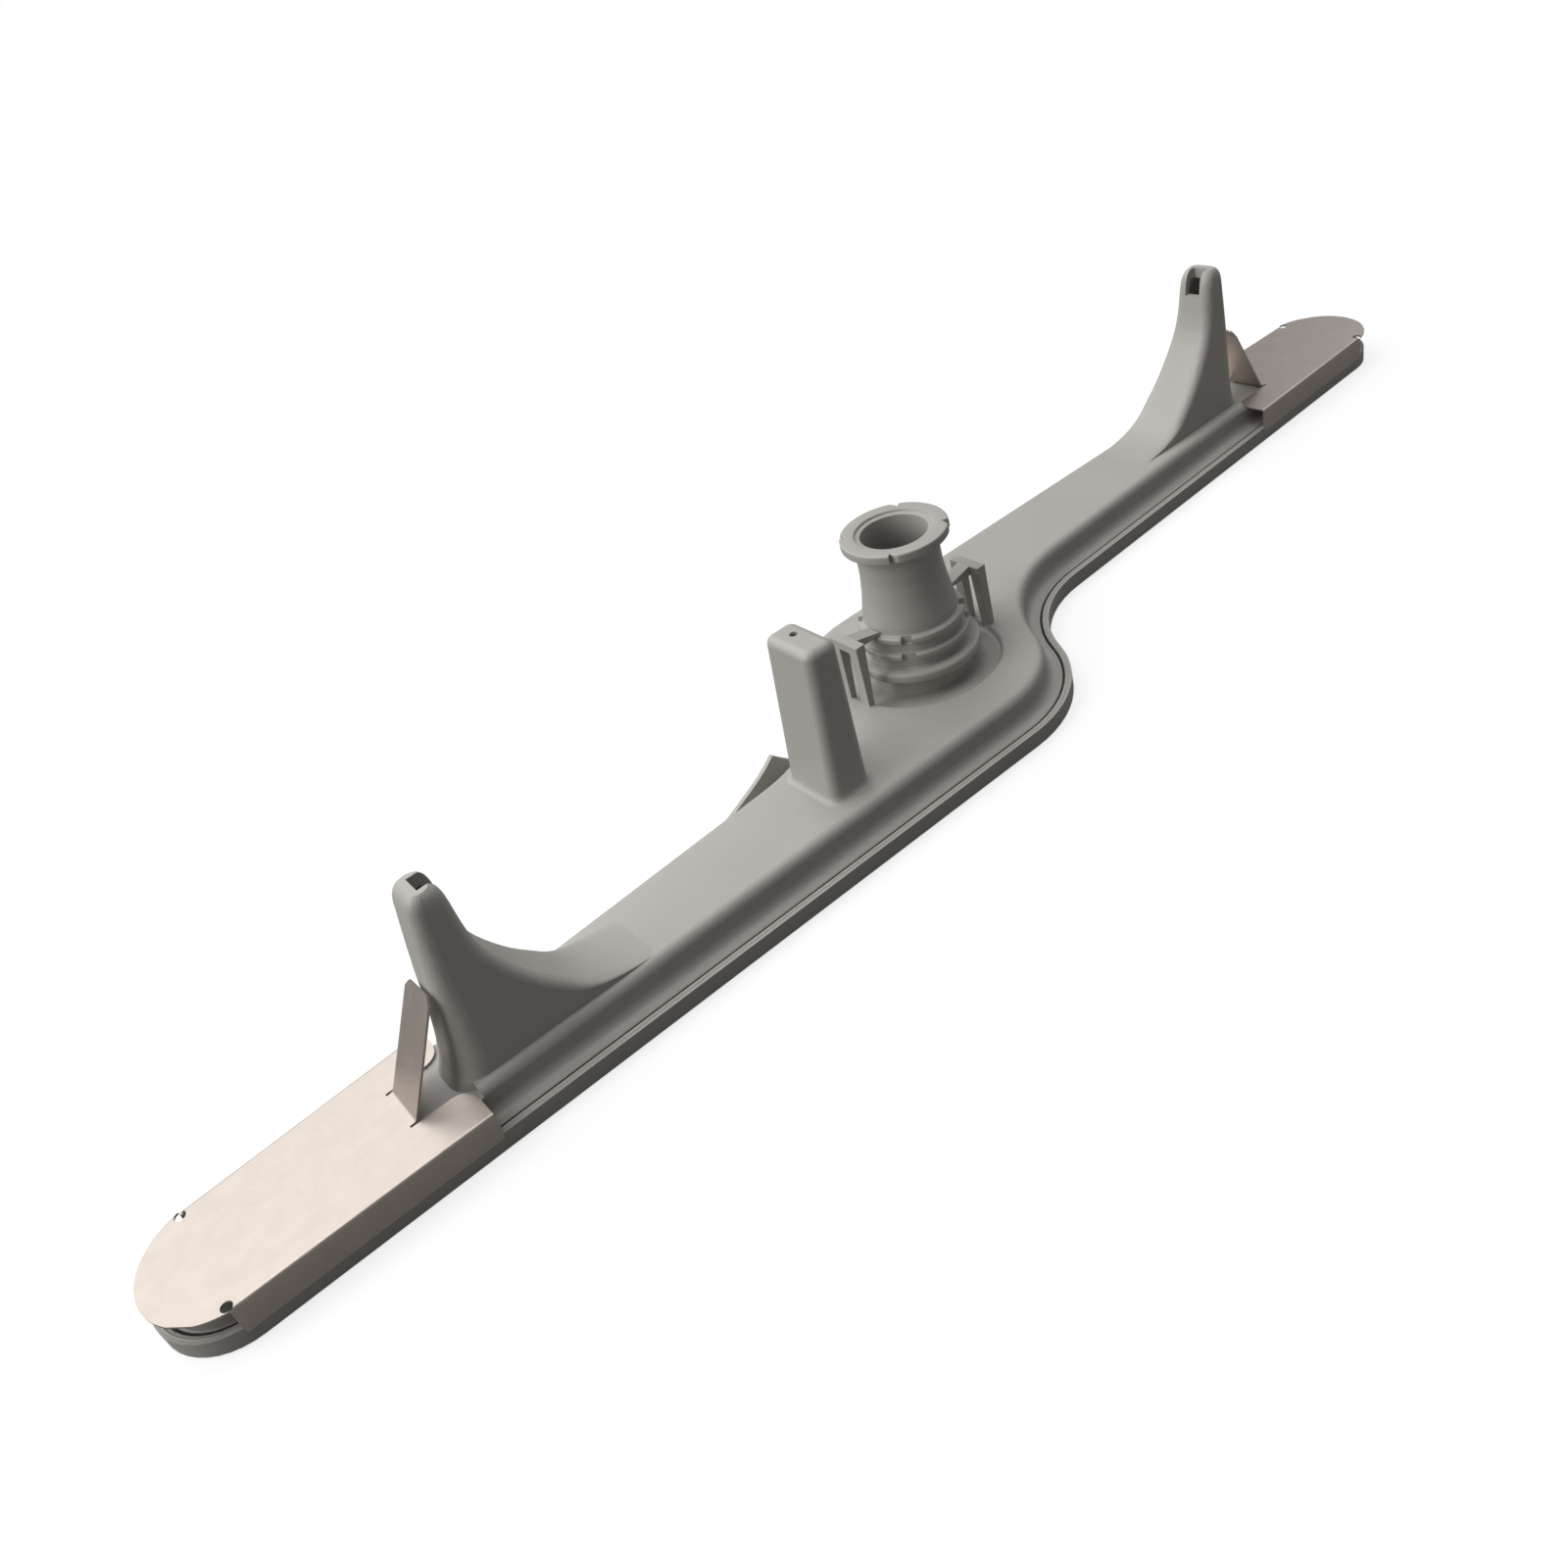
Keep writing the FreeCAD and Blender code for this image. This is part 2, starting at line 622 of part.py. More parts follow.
recess_start = size("clip_start - clip_play")
recess_end = size("fold_end + clip_play")
recess_depth = size("sheet_wall + clip_play")
straight_strip = shape_sketch(tray, "straight_recess", "clip_foot - clip_play", "XY_Plane", (
    ("clip_start - clip_play", "half_width - sheet_wall - clip_play"),
    ("fold_end + clip_play", "half_width - sheet_wall - clip_play"),
    ("fold_end + clip_play", "half_width + 1"),
    ("clip_start - clip_play", "half_width + 1"),
))
recesses = [pocket(tray, straight_strip, "straight_recess_cut", "lip_top")]
tapered_strip = shape_sketch(tray, "tapered_recess", "clip_foot - clip_play", "XY_Plane", (
    ("clip_start - clip_play", "%.4f" % edge_y(recess_start, -1.0)),
    ("fold_end + clip_play", "%.4f" % edge_y(recess_end, -1.0)),
    ("fold_end + clip_play", "%.4f" % edge_y(recess_end, recess_depth)),
    ("clip_start - clip_play", "%.4f" % edge_y(recess_start, recess_depth)),
))
recesses.append(pocket(tray, tapered_strip, "tapered_recess_cut", "lip_top"))
half_turn(tray, recesses, "recesses")

# Fin that stands on the lip in the hollow corner of the back side.
fin_ring = new_body("fin_ring")
fin_outer = outline_sketch(fin_ring, "fin_outer", "lip_top - 1", "0")
pad(fin_ring, fin_outer, "fin_pad", "fin_top - lip_top + 1")
fin_inner = outline_sketch(fin_ring, "fin_inner", "lip_top - 1", "fin_wall")
pocket(fin_ring, fin_inner, "fin_hollow", "fin_top")
fin_side = new_body("fin_side")
fin_view = shape_sketch(fin_side, "fin_view", "0", "XZ_Plane", (
    ("- fin_start", "lip_top - 0.6"),
    ("- fin_start", "lip_top"),
    ("- fin_peak", "fin_top"),
    ("- fin_end", "lip_top"),
    ("- fin_end", "lip_top - 0.6"),
))
pad(fin_side, fin_view, "fin_view_pad", "half_width", True)
back_fin = doc.addObject("Part::Common", "back_fin")
back_fin.Base = fin_ring
back_fin.Tool = fin_side
lower_shell = doc.addObject("Part::Fuse", "lower_shell_whole")
lower_shell.Base = tray
lower_shell.Tool = back_fin
doc.recompute()

# Feed hub: one moulded tube turned about its axis, then the gaps and notches.
hub = new_body("hub_tube")
profile = shape_sketch(hub, "hub_profile", "0", "XZ_Plane", (
    ("bore_round", "spigot_foot"),
    ("spigot_round", "spigot_foot"),
    ("spigot_round", "skirt_foot"),
    ("skirt_round", "skirt_foot"),
    ("skirt_round", "skirt_top - 1.2"),
    ("skirt_round - 1.2", "skirt_top"),
    ("barrel_round", "skirt_top"),
    ("barrel_round", "lower_rib_foot"),
    ("lower_rib_round - rib_edge", "lower_rib_foot"),
    ("lower_rib_round", "lower_rib_foot + rib_edge"),
    ("lower_rib_round", "lower_rib_top - rib_edge"),
    ("lower_rib_round - rib_edge", "lower_rib_top"),
    ("barrel_round - 0.2", "lower_rib_top"),
    ("barrel_round - 0.4", "upper_rib_foot"),
    ("upper_rib_round - rib_edge", "upper_rib_foot"),
    ("upper_rib_round", "upper_rib_foot + rib_edge"),
    ("upper_rib_round", "upper_rib_top - rib_edge"),
    ("upper_rib_round - rib_edge", "upper_rib_top"),
    ("cone_foot_round", "upper_rib_top"),
    ("cone_foot_round", "cone_foot"),
    ("neck_of_tube + 0.9", "flare_level - 4.9"),
    ("neck_of_tube + 0.2", "flare_level + 2"),
    ("neck_of_tube", "flare_level + 7"),
    ("neck_of_tube", "hub_flange_foot - 2.5"),
    ("neck_of_tube + 0.7", "hub_flange_foot - 0.8"),
    ("neck_of_tube + 2.4", "hub_flange_foot"),
    ("hub_flange_round - hub_edge", "hub_flange_foot"),
    ("hub_flange_round", "hub_flange_foot + hub_edge"),
    ("hub_flange_round", "hub_top - hub_edge"),
    ("hub_flange_round - hub_edge", "hub_top"),
    ("bore_round + 1.4", "hub_top"),
    ("bore_round + 1.2", "hub_top - 0.5"),
    ("bore_round", "hub_top - 0.5"),
))
turned = hub.newObject("PartDesign::Revolution", "hub_turned")
turned.Profile = profile
turned.ReferenceAxis = (profile, ["V_Axis"])
turned.Angle = 360
doc.recompute()

bites = []
for index, side in enumerate((1, -1)):
    for mirror in (0, 180):
        angle = mirror + side * sizes["gap_angle"]
        spin = FreeCAD.Rotation(FreeCAD.Vector(0, 0, 1), angle)
        for rib in ("upper", "lower"):
            bite = doc.addObject("Part::Box", "%s_rib_gap_%d_%d" % (rib, index, mirror))
            bite.Length = 6
            bite.setExpression("Width", bound(rib + "_gap"))
            bite.setExpression("Height", bound("%s_rib_top - %s_rib_foot" % (rib, rib)))
            start = FreeCAD.Vector(sizes["barrel_round"] - 0.02, -sizes[rib + "_gap"] / 2,
                                   sizes[rib + "_rib_foot"])
            bite.Placement = FreeCAD.Placement(spin.multVec(start), spin)
            bites.append(bite)
        vee = doc.addObject("Part::Prism", "rim_notch_%d_%d" % (index, mirror))
        vee.Polygon = 3
        vee.Circumradius = 2 * sizes["notch_depth"]
        vee.Height = 6
        middle = FreeCAD.Vector(size("hub_flange_round + notch_depth"), 0, size("hub_flange_foot - 1"))
        vee.Placement = FreeCAD.Placement(spin.multVec(middle), FreeCAD.Rotation(
            FreeCAD.Vector(0, 0, 1), angle + 180))
        bites.append(vee)
bite_set = doc.addObject("Part::MultiFuse", "hub_bites")
bite_set.Shapes = bites
hub_tube = doc.addObject("Part::Cut", "hub_finished")
hub_tube.Base = hub
hub_tube.Tool = bite_set
doc.recompute()


def folded_block(name, inset, spare):
    """Solid with the outside, or the inside, of the folded sheet."""
    body = new_body(name)
    first = size("clip_start - " + spare)
    last = size("fold_end + " + spare)
    back = "half_width - %s" % inset
    blank = shape_sketch(body, name + "_outline", "clip_foot - %s" % spare, "XY_Plane", (
        ("clip_start - %s" % spare, "%.4f" % edge_y(first, size(inset))),
        ("fold_end + %s" % spare, "%.4f" % edge_y(last, size(inset))),
        ("fold_end + %s" % spare, back),
        ("clip_start - %s" % spare, back),
    ))
    pad(body, blank, name + "_pad", "clip_top - clip_foot + %s - %s" % (spare, inset))
    top = size("clip_top - " + inset)
    round_edges(body, name + "_folds", "fold_round - " + inset,
                lambda edge, shape: level_edge(edge, top) and edge.BoundBox.XLength > 10)
    return body


def clip(name, turn, root, lean):
    """Stainless clip on one arm end: a plate, two folded sides and a tab lanced from the plate."""
    block = folded_block(name + "_outer", "0", "0")
    space = folded_block(name + "_inner", "sheet_wall", "5")
    fold = doc.addObject("Part::Cut", name + "_fold")
    fold.Base = block
    fold.Tool = space
    end = new_body(name + "_end")
    start = size("fold_end - 1")
    at = outline_points(0.0)
    sketch = new_sketch(end, name + "_end_outline", "clip_top - sheet_wall")
    low = FreeCAD.Vector(start, edge_y(start, size("fold_round")), 0)
    high = FreeCAD.Vector(start, size("half_width - fold_round"), 0)
    turn_low = FreeCAD.Vector(size("fold_end"), edge_y(size("fold_end"), 0), 0)
    turn_high = FreeCAD.Vector(size("fold_end"), size("half_width"), 0)
    tip_arc = Part.Arc(turn_low, FreeCAD.Vector(size("half_length"), at["tip"].y, 0), turn_high)
    lines = [(low, FreeCAD.Vector(turn_low.x, low.y, 0)), (FreeCAD.Vector(turn_low.x, low.y, 0), turn_low)]
    back = FreeCAD.Vector(turn_high.x, high.y, 0)
    lines += [(turn_high, back), (back, high), (high, low)]
    sketch.addGeometry(Part.LineSegment(*lines[0]))
    sketch.addGeometry(Part.LineSegment(*lines[1]))
    sketch.addGeometry(tip_arc)
    sketch.addGeometry(Part.LineSegment(*lines[2]))
    sketch.addGeometry(Part.LineSegment(*lines[3]))
    sketch.addGeometry(Part.LineSegment(*lines[4]))
    for index in range(6):
        sketch.addConstraint(Sketcher.Constraint("Coincident", index, 2, (index + 1) % 6, 1))
    for index in (0, 4):
        sketch.addConstraint(Sketcher.Constraint("Horizontal", index))
    for index in (1, 3, 5):
        sketch.addConstraint(Sketcher.Constraint("Vertical", index))
    measure(sketch, "DistanceX", (-1, 1, 0, 1), "fold_end - 1")
    measure(sketch, "DistanceX", (-1, 1, 2, 1), "fold_end")
    measure(sketch, "DistanceX", (-1, 1, 2, 2), "fold_end")
    measure(sketch, "DistanceY", (-1, 1, 0, 1), "%.4f" % low.y)
    measure(sketch, "DistanceY", (-1, 1, 2, 1), "%.4f" % turn_low.y)
    measure(sketch, "DistanceY", (-1, 1, 2, 2), "half_width")
    measure(sketch, "DistanceY", (-1, 1, 4, 2), "half_width - fold_round")
    measure(sketch, "Radius", (2,), "%.4f" % tip_arc.toShape().Curve.Radius)
    pad(end, sketch, name + "_end_pad", "sheet_wall")

    tab_side = new_body(name + "_tab_side")
    drift = math.tan(math.radians(sizes[lean])) * sizes["tab_height"]
    view = shape_sketch(tab_side, name + "_tab_view", "tab_inset - half_width", "XZ_Plane", (
        (root + " + 2.5", "clip_top - sheet_wall"),
        (root + " + 2.5", "clip_top"),
        (root + " + sheet_wall", "clip_top"),
        (root + " + sheet_wall - %.4f" % drift, "clip_top + tab_height"),
        (root + " - %.4f" % drift, "clip_top + tab_height"),
        (root, "clip_top - sheet_wall"),
    ))
    pad(tab_side, view, name + "_tab_view_pad", "tab_width + 4", True)
    tab_face = new_body(name + "_tab_face")
    low_side = "half_width - tab_inset - %.4f"
    high_side = "half_width - tab_inset + %.4f"
    wide = sizes["tab_width"] / 2
    narrow = sizes["tab_crown"] / 2
    face = shape_sketch(tab_face, name + "_tab_front", root + " - 20", "YZ_Plane", (
        (low_side % wide, "clip_top - 1"),
        (high_side % wide, "clip_top - 1"),
        (high_side % wide, "clip_top + 1"),
        (high_side % narrow, "clip_top + tab_height"),
        (low_side % narrow, "clip_top + tab_height"),
        (low_side % wide, "clip_top + 1"),
    ))
    pad(tab_face, face, name + "_tab_front_pad", "30")
    crown = size("clip_top + tab_height")
    round_edges(tab_face, name + "_tab_crown", "tab_crown_round",
                lambda edge, shape: level_edge(edge, crown) and edge.BoundBox.XLength > 10)
    tab = doc.addObject("Part::Common", name + "_tab")
    tab.Base = tab_side
    tab.Tool = tab_face

    window = new_body(name + "_window")
    opening = box_sketch(window, name + "_opening", "clip_top - 3", "clip_start - 5", root,
                         "half_width - tab_inset - window_half", "half_width - tab_inset + window_half")
    pad(window, opening, name + "_opening_pad", "6")
    cuts = [window]
    line = size("half_width - tab_inset")
    for side in (-1, 1):
        relief = doc.addObject("Part::Cylinder", "%s_relief_%d" % (name, side + 1))
        relief.setExpression("Radius", bound("relief_round"))
        relief.Height = 6
        relief.Placement.Base = FreeCAD.Vector(
            size(root + " + 0.3"), line + side * (sizes["tab_width"] / 2 + 0.2), size("clip_top - 3"))
        cuts.append(relief)
        # Rounded inner corner of the prong beside the window.
        block_low = sizes["window_half"] if side > 0 else -size("window_half + prong_round")
        block = doc.addObject("Part::Box", "%s_prong_block_%d" % (name, side + 1))
        block.setExpression("Length", bound("prong_round + 1"))
        block.setExpression("Width", bound("prong_round"))
        block.Height = 6
        block.Placement.Base = FreeCAD.Vector(size("clip_start - 1"), line + block_low, size("clip_top - 3"))
        disc = doc.addObject("Part::Cylinder", "%s_prong_disc_%d" % (name, side + 1))
        disc.setExpression("Radius", bound("prong_round"))
        disc.Height = 6
        disc.Placement.Base = FreeCAD.Vector(
            size("clip_start + prong_round"), line + side * size("window_half + prong_round"),
            size("clip_top - 3"))
        corner = doc.addObject("Part::Cut", "%s_prong_corner_%d" % (name, side + 1))
        corner.Base = block
        corner.Tool = disc
        cuts.append(corner)
    for mark, y in (("low", edge_y(size("fold_end"), 1.6)), ("high", size("half_width - 1.6"))):
        bite = doc.addObject("Part::Cylinder", "%s_notch_%s" % (name, mark))
        bite.setExpression("Radius", bound("end_notch_round"))
        bite.Height = 4
        bite.Placement.Base = FreeCAD.Vector(size("fold_end"), y, size("clip_top - 3"))
        cuts.append(bite)
    plate = doc.addObject("Part::MultiFuse", name + "_plate")
    plate.Shapes = [fold, end]
    tool = doc.addObject("Part::MultiFuse", name + "_cuts")
    tool.Shapes = cuts
    opened = doc.addObject("Part::Cut", name + "_opened")
    opened.Base = plate
    opened.Tool = tool
    whole = doc.addObject("Part::Fuse", name + "_whole")
    whole.Base = opened
    whole.Tool = tab
    whole.Placement = FreeCAD.Placement(FreeCAD.Vector(), FreeCAD.Rotation(FreeCAD.Vector(0, 0, 1), turn))
    doc.recompute()
    return whole


end_clip_far = clip("clip_far", 0, "far_tab_root", "far_tab_lean")
end_clip_near = clip("clip_near", 180, "near_tab_root", "near_tab_lean")

parts = {
    "upper_shell": upper_shell,
    "lower_shell": lower_shell,
    "hub_tube": hub_tube,
    "end_clip_near": end_clip_near,
    "end_clip_far": end_clip_far,
}
for item in doc.Objects:
    if "Invalid" in item.State or "Error" in item.State:
        raise RuntimeError("%s is in state %s" % (item.Name, item.State))
    if item.TypeId == "Sketcher::SketchObject" and not item.FullyConstrained:
        raise RuntimeError("sketch is loose: " + item.Name)
for name, item in parts.items():
    item.Label = name
    shape = item.Shape
    if shape.isNull() or not shape.isValid() or len(shape.Solids) != 1:
        raise RuntimeError("%s isn't one sound solid" % name)
    print(name, shape.BoundBox, round(shape.Volume))
    shape.exportStep("parts/%s.step" % name)
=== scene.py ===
import bmesh
import bpy
import math
from mathutils import Matrix, Vector


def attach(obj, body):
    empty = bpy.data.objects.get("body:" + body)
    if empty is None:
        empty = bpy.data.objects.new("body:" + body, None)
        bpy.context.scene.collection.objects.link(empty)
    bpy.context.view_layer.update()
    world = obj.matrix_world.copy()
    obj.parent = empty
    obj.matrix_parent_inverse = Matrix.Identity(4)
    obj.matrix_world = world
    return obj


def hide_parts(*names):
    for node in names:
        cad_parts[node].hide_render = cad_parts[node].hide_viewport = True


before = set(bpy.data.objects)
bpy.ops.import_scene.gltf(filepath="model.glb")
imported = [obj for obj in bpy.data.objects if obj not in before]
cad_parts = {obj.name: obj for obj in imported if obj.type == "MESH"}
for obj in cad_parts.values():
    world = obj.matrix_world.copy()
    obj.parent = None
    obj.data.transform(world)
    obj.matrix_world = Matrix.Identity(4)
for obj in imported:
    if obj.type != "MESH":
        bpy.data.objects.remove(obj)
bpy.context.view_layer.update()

print("frame loaded")

mm = 0.001


def hexColour(code):  # sRGB hex to linear
    out = []
    for i in (0, 2, 4):
        c = int(code[i:i + 2], 16) / 255
        out.append(c / 12.92 if c <= 0.04045 else ((c + 0.055) / 1.055) ** 2.4)
    return (*out, 1.0)


def addNode(tree, kind, settings=None, links=None, at=(0, 0)):
    node = tree.nodes.new(kind)
    node.location = at
    for key, value in (settings or {}).items():
        if isinstance(key, int):
            node.inputs[key].default_value = value
        elif hasattr(node, key):
            setattr(node, key, value)
        else:
            node.inputs[key].default_value = value
    for key, source in (links or {}).items():
        tree.links.new(source, node.inputs[key])
    return node


def newMaterial(name):
    mat = bpy.data.materials.new(name)
    mat.use_nodes = True
    mat.node_tree.nodes.clear()
    return mat, mat.node_tree


# Camera at the photograph's angle
camera = {
    "place": (-0.2206435, -0.2902747, 0.2491446),
    "right": (0.7543155, -0.6149111, -0.2299838),
    "up": (0.5168439, 0.3401997, 0.7855804),
    "back": (-0.4048217, -0.7114411, 0.5744309),
    "frame": 1600,  # pixels of the photograph each way
    "focal": 1399.39,  # in pixels
    "middle": (802.626, 761.766),  # pixel that the lens looks straight at
    "sensor": 36,
    "nearest": 0.01,
}
camData = bpy.data.cameras.new("photoCamera")
camData.sensor_width = camera["sensor"]
camData.lens = camera["sensor"] * camera["focal"] / camera["frame"]
centre = camera["frame"] / 2
camData.shift_x = (centre - camera["middle"][0]) / camera["frame"]
camData.shift_y = (camera["middle"][1] - centre) / camera["frame"]
camData.clip_start = camera["nearest"]
cam = bpy.data.objects.new("photoCamera", camData)
bpy.context.scene.collection.objects.link(cam)
turn = Matrix((camera["right"], camera["up"], camera["back"])).transposed().to_4x4()
cam.matrix_world = Matrix.Translation(camera["place"]) @ turn
bpy.context.scene.camera = cam

# Floor, world and soft studio lamps
studio = {
    "paper": "EFEEEC",  # what the camera sees of the floor
    "bounce": "6E6C69",  # what the floor gives back to the part, as from a sweep lit less than the part
    "floorSpan": 9.0,
    "floorDrop": 0.0006,  # gap under the part, so that no faces lie in one plane
    "nearGlow": 0.72,  # share of plain white where the shadow falls
    "glowStrength": 1.1,
    "shadowStart": 0.35,
    "shadowReach": 0.75,  # from here on the floor is all white
    "glossShare": 0.15,  # how much of the white the steel shows
    "worldLight": 0.15,
    "worldGloss": 0.28,
}
floorMesh = bpy.data.meshes.new("floor")
span = studio["floorSpan"] / 2
level = -studio["floorDrop"]
corners = ((-span, -span), (span, -span), (span, span), (-span, span))
floorMesh.from_pydata([(x, y, level) for x, y in corners], [], [(0, 1, 2, 3)])
floor = bpy.data.objects.new("floor", floorMesh)
bpy.context.scene.collection.objects.link(floor)
floorMat, tree = newMaterial("pale paper sweep")
path = addNode(tree, "ShaderNodeLightPath", at=(-1100, 300))
gloss = addNode(tree, "ShaderNodeMath", {"operation": "MULTIPLY", 1: studio["glossShare"]},
                {0: path.outputs["Is Glossy Ray"]}, (-900, 200))
seen = addNode(tree, "ShaderNodeMath", {"operation": "MAXIMUM"}, {0: path.outputs["Is Camera Ray"],
               1: gloss.outputs[0]}, (-700, 300))
spot = addNode(tree, "ShaderNodeTexCoord", at=(-1100, 0))
reach = addNode(tree, "ShaderNodeVectorMath", {"operation": "LENGTH"},
                {0: spot.outputs["Object"]}, (-900, 0))
fade = addNode(tree, "ShaderNodeMapRange", {"interpolation_type": "SMOOTHSTEP",
               "From Min": studio["shadowStart"], "From Max": studio["shadowReach"],
               "To Min": studio["nearGlow"], "To Max": 1.0}, {"Value": reach.outputs["Value"]}, (-700, 0))
share = addNode(tree, "ShaderNodeMath", {"operation": "MULTIPLY"}, {0: seen.outputs[0],
                1: fade.outputs[0]}, (-450, 200))
paperTint = addNode(tree, "ShaderNodeMix", {"data_type": "RGBA", 6: hexColour(studio["bounce"]),
                    7: hexColour(studio["paper"])}, {0: path.outputs["Is Camera Ray"]}, (-450, -100))
paper = addNode(tree, "ShaderNodeBsdfDiffuse", None, {"Color": paperTint.outputs[2]}, (-200, 0))
glow = addNode(tree, "ShaderNodeEmission", {"Color": (1, 1, 1, 1), "Strength": studio["glowStrength"]},
               at=(-200, -150))
mix = addNode(tree, "ShaderNodeMixShader", None, {0: share.outputs[0], 1: paper.outputs[0],
              2: glow.outputs[0]}, (0, 0))
addNode(tree, "ShaderNodeOutputMaterial", None, {"Surface": mix.outputs[0]}, (200, 0))
floorMesh.materials.append(floorMat)

world = bpy.data.worlds.new("studio")
bpy.context.scene.world = world
world.use_nodes = True
tree = world.node_tree
tree.nodes.clear()
path = addNode(tree, "ShaderNodeLightPath", at=(-800, 200))
gloss = addNode(tree, "ShaderNodeMapRange",
                {"To Min": studio["worldLight"], "To Max": studio["worldGloss"]},
                {"Value": path.outputs["Is Glossy Ray"]}, (-600, 0))
strength = addNode(tree, "ShaderNodeMapRange", {"To Max": 1.0},
                   {"Value": path.outputs["Is Camera Ray"], "To Min": gloss.outputs[0]}, (-300, 200))
sky = addNode(tree, "ShaderNodeBackground", {"Color": (1, 1, 1, 1)},
              {"Strength": strength.outputs[0]})
addNode(tree, "ShaderNodeOutputWorld", None, {"Surface": sky.outputs[0]}, (200, 0))

lamps = [  # name, place, aim, width, height, watts
    ("backSoftbox", (-0.45, 1.15, 1.3), (-0.1, 0.0, 0.0), 2.5, 2.0, 28),
    ("topSoftbox", (0.0, 0.05, 1.7), (0.0, 0.0, 0.0), 1.6, 1.0, 8),
    ("leftSoftbox", (-1.4, 0.3, 0.9), (0.0, 0.0, 0.0), 0.9, 1.2, 13),
    ("rightFill", (1.4, 0.25, 1.0), (0.0, 0.0, 0.0), 1.0, 1.0, 3.5),
]
for name, place, aim, wide, high, watts in lamps:
    data = bpy.data.lights.new(name, "AREA")
    data.shape = "RECTANGLE"
    data.size, data.size_y, data.energy = wide, high, watts
    lamp = bpy.data.objects.new(name, data)
    lamp.location = place
    lamp.rotation_euler = (Vector(aim) - Vector(place)).to_track_quat("-Z", "Y").to_euler()
    bpy.context.scene.collection.objects.link(lamp)
bpy.context.scene.view_settings.view_transform = "Standard"
print("camera, floor and lamps made")

# Injection-moulded polypropylene: a satin skin, faint flow clouds about 35 mm across, and a
# spark-eroded grain, drawn 0.4 mm coarse, which only breaks up the gloss.
plastic = {
    "dark": "A4A19B",
    "light": "AFACA6",
    "cloud": 28.0,
    "grain": 2400.0,
    "rough": 0.42,
    "ior": 1.49,
    "bump": 0.16,
    "bumpHeight": 0.2 * mm,
    "lookingUp": 0.8,  # height of a face's normal from which it counts as a floor
    "seamTop": 4.0 * mm,  # a face below this that looks up is the floor of the weld seam
    # painted shade: colour laid on the seam's floor, which lies in shade
    "seamShade": "14120F",
}
ejector = {
    "centre": (-78.6 * mm, -22.8 * mm, 14.0 * mm),
    "radius": 2.9 * mm,
    "width": 0.2 * mm,
    "depth": -3.0,  # against the grain's height
}
# painted shade in the hub's bore: darker towards the bottom
bore = {
    "radius": 11.0 * mm,  # faces nearer the axis than this carry the painted shade
    "mouth": 59.0 * mm,
    "depth": 34.0 * mm,
    "film": "34302B",  # painted shade that deepens down the bore
    "share": 0.85,
}


